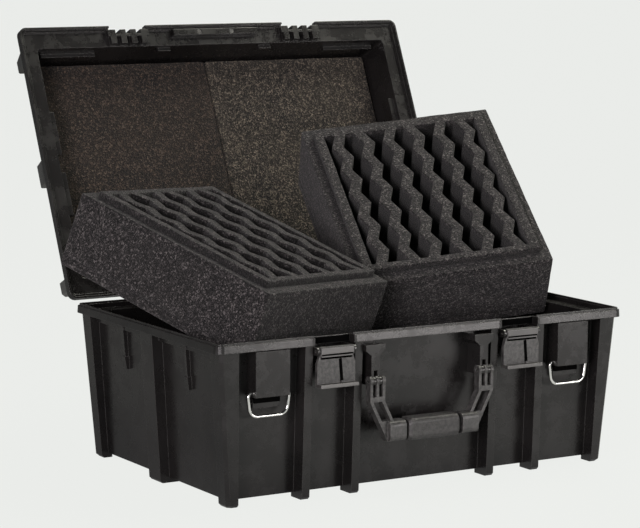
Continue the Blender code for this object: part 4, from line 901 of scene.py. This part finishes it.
def bent_wire():
    """A closed ring of round wire: a tapered frame with rounded corners, drawn in XY."""
    tree, given, leave = growth("bent_wire", (
        ("Top Width", "NodeSocketFloat"), ("Bottom Width", "NodeSocketFloat"), ("Height", "NodeSocketFloat"),
        ("Top Radius", "NodeSocketFloat"), ("Bottom Radius", "NodeSocketFloat"),
        ("Wire Radius", "NodeSocketFloat"), ("Material", "NodeSocketMaterial"),
    ))
    frame_line = place(tree, "GeometryNodeCurvePrimitiveQuadrilateral", {
        "Top Width": given["Top Width"], "Bottom Width": given["Bottom Width"], "Height": given["Height"],
        "Offset": 0.0,
    }, mode="TRAPEZOID")
    spot = place(tree, "ShaderNodeSeparateXYZ", {0: tree.nodes.new("GeometryNodeInputPosition").outputs[0]})
    above = place(tree, "FunctionNodeCompare", {0: spot.outputs["Y"], 1: 0.0}, operation="GREATER_THAN")
    radius = place(tree, "GeometryNodeSwitch", {
        0: above.outputs[0], 1: given["Bottom Radius"], 2: given["Top Radius"],
    }, input_type="FLOAT")
    bends = place(tree, "GeometryNodeFilletCurve", {
        "Curve": frame_line.outputs[0], "Count": RING_BEND_STEPS, "Radius": radius.outputs[0],
        "Limit Radius": True,
    }, mode="POLY")
    section = place(tree, "GeometryNodeCurvePrimitiveCircle", {
        "Resolution": RING_SIDES, "Radius": given["Wire Radius"],
    })
    wire = place(tree, "GeometryNodeCurveToMesh", {
        "Curve": bends.outputs[0], "Profile Curve": section.outputs[0],
    })
    smooth = place(tree, "GeometryNodeSetShadeSmooth", {"Geometry": wire.outputs[0]})
    finish_growth(tree, smooth.outputs[0], given, leave)
    return tree


def grown(name, tree, values):
    """The plain mesh that a geometry node tree makes from its named inputs."""
    holder = bpy.data.objects.new(name, bpy.data.meshes.new(name))
    bpy.context.scene.collection.objects.link(holder)
    modifier = holder.modifiers.new("growth", "NODES")
    modifier.node_group = tree
    for item in tree.interface.items_tree:
        if item.in_out == "INPUT":
            modifier[item.identifier] = values[item.name]
    graph = bpy.context.evaluated_depsgraph_get()
    graph.update()
    mesh = bpy.data.meshes.new_from_object(holder.evaluated_get(graph))
    bpy.data.objects.remove(holder, do_unlink=True)
    return mesh


def rings():
    """The chrome strap rings, as bent wire."""
    tree = bent_wire()
    for side in ("left", "right"):
        low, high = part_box(f"strap_ring_{side}")
        low.z -= RING_LONGER
        width, height = high.x - low.x - 2 * RING_WIRE + RING_WIDER, high.z - low.z - 2 * RING_WIRE
        mesh = grown(f"ring_{side}", tree, {
            "Top Width": width, "Bottom Width": width - RING_TAPER, "Height": height,
            "Top Radius": RING_TOP_BEND, "Bottom Radius": RING_LOW_BEND, "Wire Radius": RING_WIRE,
            "Material": CHROME,
        })
        mesh.transform(Matrix.Translation((low + high) / 2) @ Matrix.Rotation(math.radians(90), 4, "X"))
        piece(f"strap_ring_{side}_wire", mesh, CHROME, "ring_chrome", f"{side}_ring", f"strap_ring_{side}")


def blocks_mesh(name, blocks, bevel):
    """One mesh of bevelled blocks, each given as its low and high corner in mm."""
    bm = bmesh.new()
    for low, high in blocks:
        size = (Vector(high) - Vector(low)) * MM
        middle = (Vector(high) + Vector(low)) / 2 * MM
        made = bmesh.ops.create_cube(bm, size=1.0)["verts"]
        bmesh.ops.scale(bm, verts=made, vec=size)
        bmesh.ops.translate(bm, verts=made, vec=middle)
    bmesh.ops.bevel(bm, geom=list(bm.edges), offset=bevel, segments=2, affect="EDGES")
    bmesh.ops.recalc_face_normals(bm, faces=bm.faces)
    mesh = bpy.data.meshes.new(name)
    bm.to_mesh(mesh)
    bm.free()
    return smooth_by_angle(mesh, TRIM_SMOOTH_BELOW)


# Small trims, each block by its low and high corner in mm, with X from the middle of its latch or ring
SIDES = (("left", -1), ("right", 1))
LATCH_X = 128.0
RING_X = 207.5
FINE_BEVEL = 0.1 * MM
BAR_BEVEL = 0.3 * MM
TRIM_SMOOTH_BELOW = 35
# Dark blocks of painted shade in the latch notches and in the slot under each ring plate
NOTCH_SHADE_BLOCK = (((-25.6, -166.5, 171.8), (25.6, -165.8, 179.2)),)
RING_SLOT_SHADE_BLOCK = (((-16.6, -162.4, 109.8), (16.6, -153.6, 118.2)),)
GAP_SHADE_BLOCKS = (("rim_notch", NOTCH_SHADE_BLOCK, LATCH_X), ("ring_slot", RING_SLOT_SHADE_BLOCK, RING_X))
# Pale bars that paint the highlight on each latch's top and lip; the gaps and the groove are dark blocks of
# painted shade
LATCH_HIGHLIGHT_BARS = (
    ((-21.0, -184.0, 162.0), (21.0, -182.9, 168.8)),
    ((-20.4, -183.2, 158.4), (20.4, -180.3, 160.0)),
    ((-24.9, -189.3, 124.1), (24.9, -188.3, 128.1)),
)
LATCH_GAP_SHADES = (
    ((-20.6, -181.0, 155.8), (20.6, -180.3, 158.3)),
    ((-20.8, -183.4, 160.2), (20.8, -182.9, 161.9)),
)
LATCH_GROOVE_SHADE = (((-2.0, -180.8, -12.6), (2.0, -178.6, 12.6)),)
GROOVE_LEAN = math.radians(-5)
GROOVE_X = 6.0
GROOVE_Z = 142.6


def beside(blocks, x):
    """The blocks with their middle at X."""
    return [((x + low[0], *low[1:]), (x + high[0], *high[1:])) for low, high in blocks]


def paint_gap_shades():
    """Dark blocks that paint the shade of the deep slot between each ring plate and the block under it, and
    the latch notches' shadow.
    """
    for name, blocks, x in GAP_SHADE_BLOCKS:
        for side, sign in SIDES:
            mesh = blocks_mesh(f"{name}_{side}", beside(blocks, sign * x), FINE_BEVEL)
            piece(f"{name}_{side}", mesh, SHADE_BLACK, "case_plastic", "case")


def latch_trims():
    """The squared bar over each paddle and the lip, in pale plastic that paints their highlight, with dark
    blocks of painted shade in the gap under the bar and in the slanted groove.
    """
    lean = Matrix.Rotation(GROOVE_LEAN, 4, "Y")
    for side, sign in SIDES:
        body, x = f"{side}_latch", sign * LATCH_X
        bars = blocks_mesh("bars", beside(LATCH_HIGHLIGHT_BARS, x), BAR_BEVEL)
        piece(f"latch_{side}_bars", bars, HIGHLIGHT_PLASTIC, "case_plastic", body)
        gap = blocks_mesh("gap", beside(LATCH_GAP_SHADES, x), FINE_BEVEL)
        piece(f"latch_{side}_gap", gap, SHADE_BLACK, "case_plastic", body)
        groove = blocks_mesh("groove", LATCH_GROOVE_SHADE, FINE_BEVEL)
        groove.transform(Matrix.Translation(Vector((x + GROOVE_X, 0.0, GROOVE_Z)) * MM) @ lean)
        piece(f"latch_{side}_groove", groove, SHADE_BLACK, "case_plastic", body)


KEPT_NODES = (
    (SHELL, ("tub", "lid_shell", "lid_front_plate", "handle_bracket_left", "handle_bracket_right",
             "ring_plate_left", "ring_plate_right")),
    (HARDWARE, ("latch_left", "latch_right", "handle_frame", "lid_plate_screw_left",
                "lid_plate_screw_right")),
    (GRIP, ("handle_grip",)),
    (STEEL, ("hinge_pin_left", "hinge_pin_right", "latch_pin_left", "latch_pin_right", "handle_pin_left",
             "handle_pin_right")),
)


def paint_kept_nodes():
    """Materials of the CAD nodes that stay as they are."""
    for mat, names in KEPT_NODES:
        for name in names:
            node = NODES[name]
            node.data.materials.clear()
            node.data.materials.append(mat)


# The plane that each propped tray would flatten to: its direction, its offset in mm, and what thickness is
# left
GIVING_WAY = {
    "upper_tray_left_block": ((0.2985, -0.8027, -0.5163), -58.2, 0.01),
    "upper_tray_left_base": ((0.3889, -0.8553, -0.3424), -83.7, 0.048),
    "upper_tray_right": ((0.3038, 0.6129, 0.7295), 123.5, 0.192),
}


def squash_upper_trays(trays):
    """Gives each propped tray named in GIVING_WAY a mesh of its own; the trays are not flattened."""
    for tray in trays:
        for name, (axis, offset, keep) in GIVING_WAY.items():
            if tray.name.startswith(name):
                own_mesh(tray)


camera()
studio()
paint_kept_nodes()
rings()
paint_gap_shades()
latch_trims()
cut_foam_sheets()
squash_upper_trays(cut_foam_trays())

bpy.context.scene.view_settings.view_transform = "Standard"
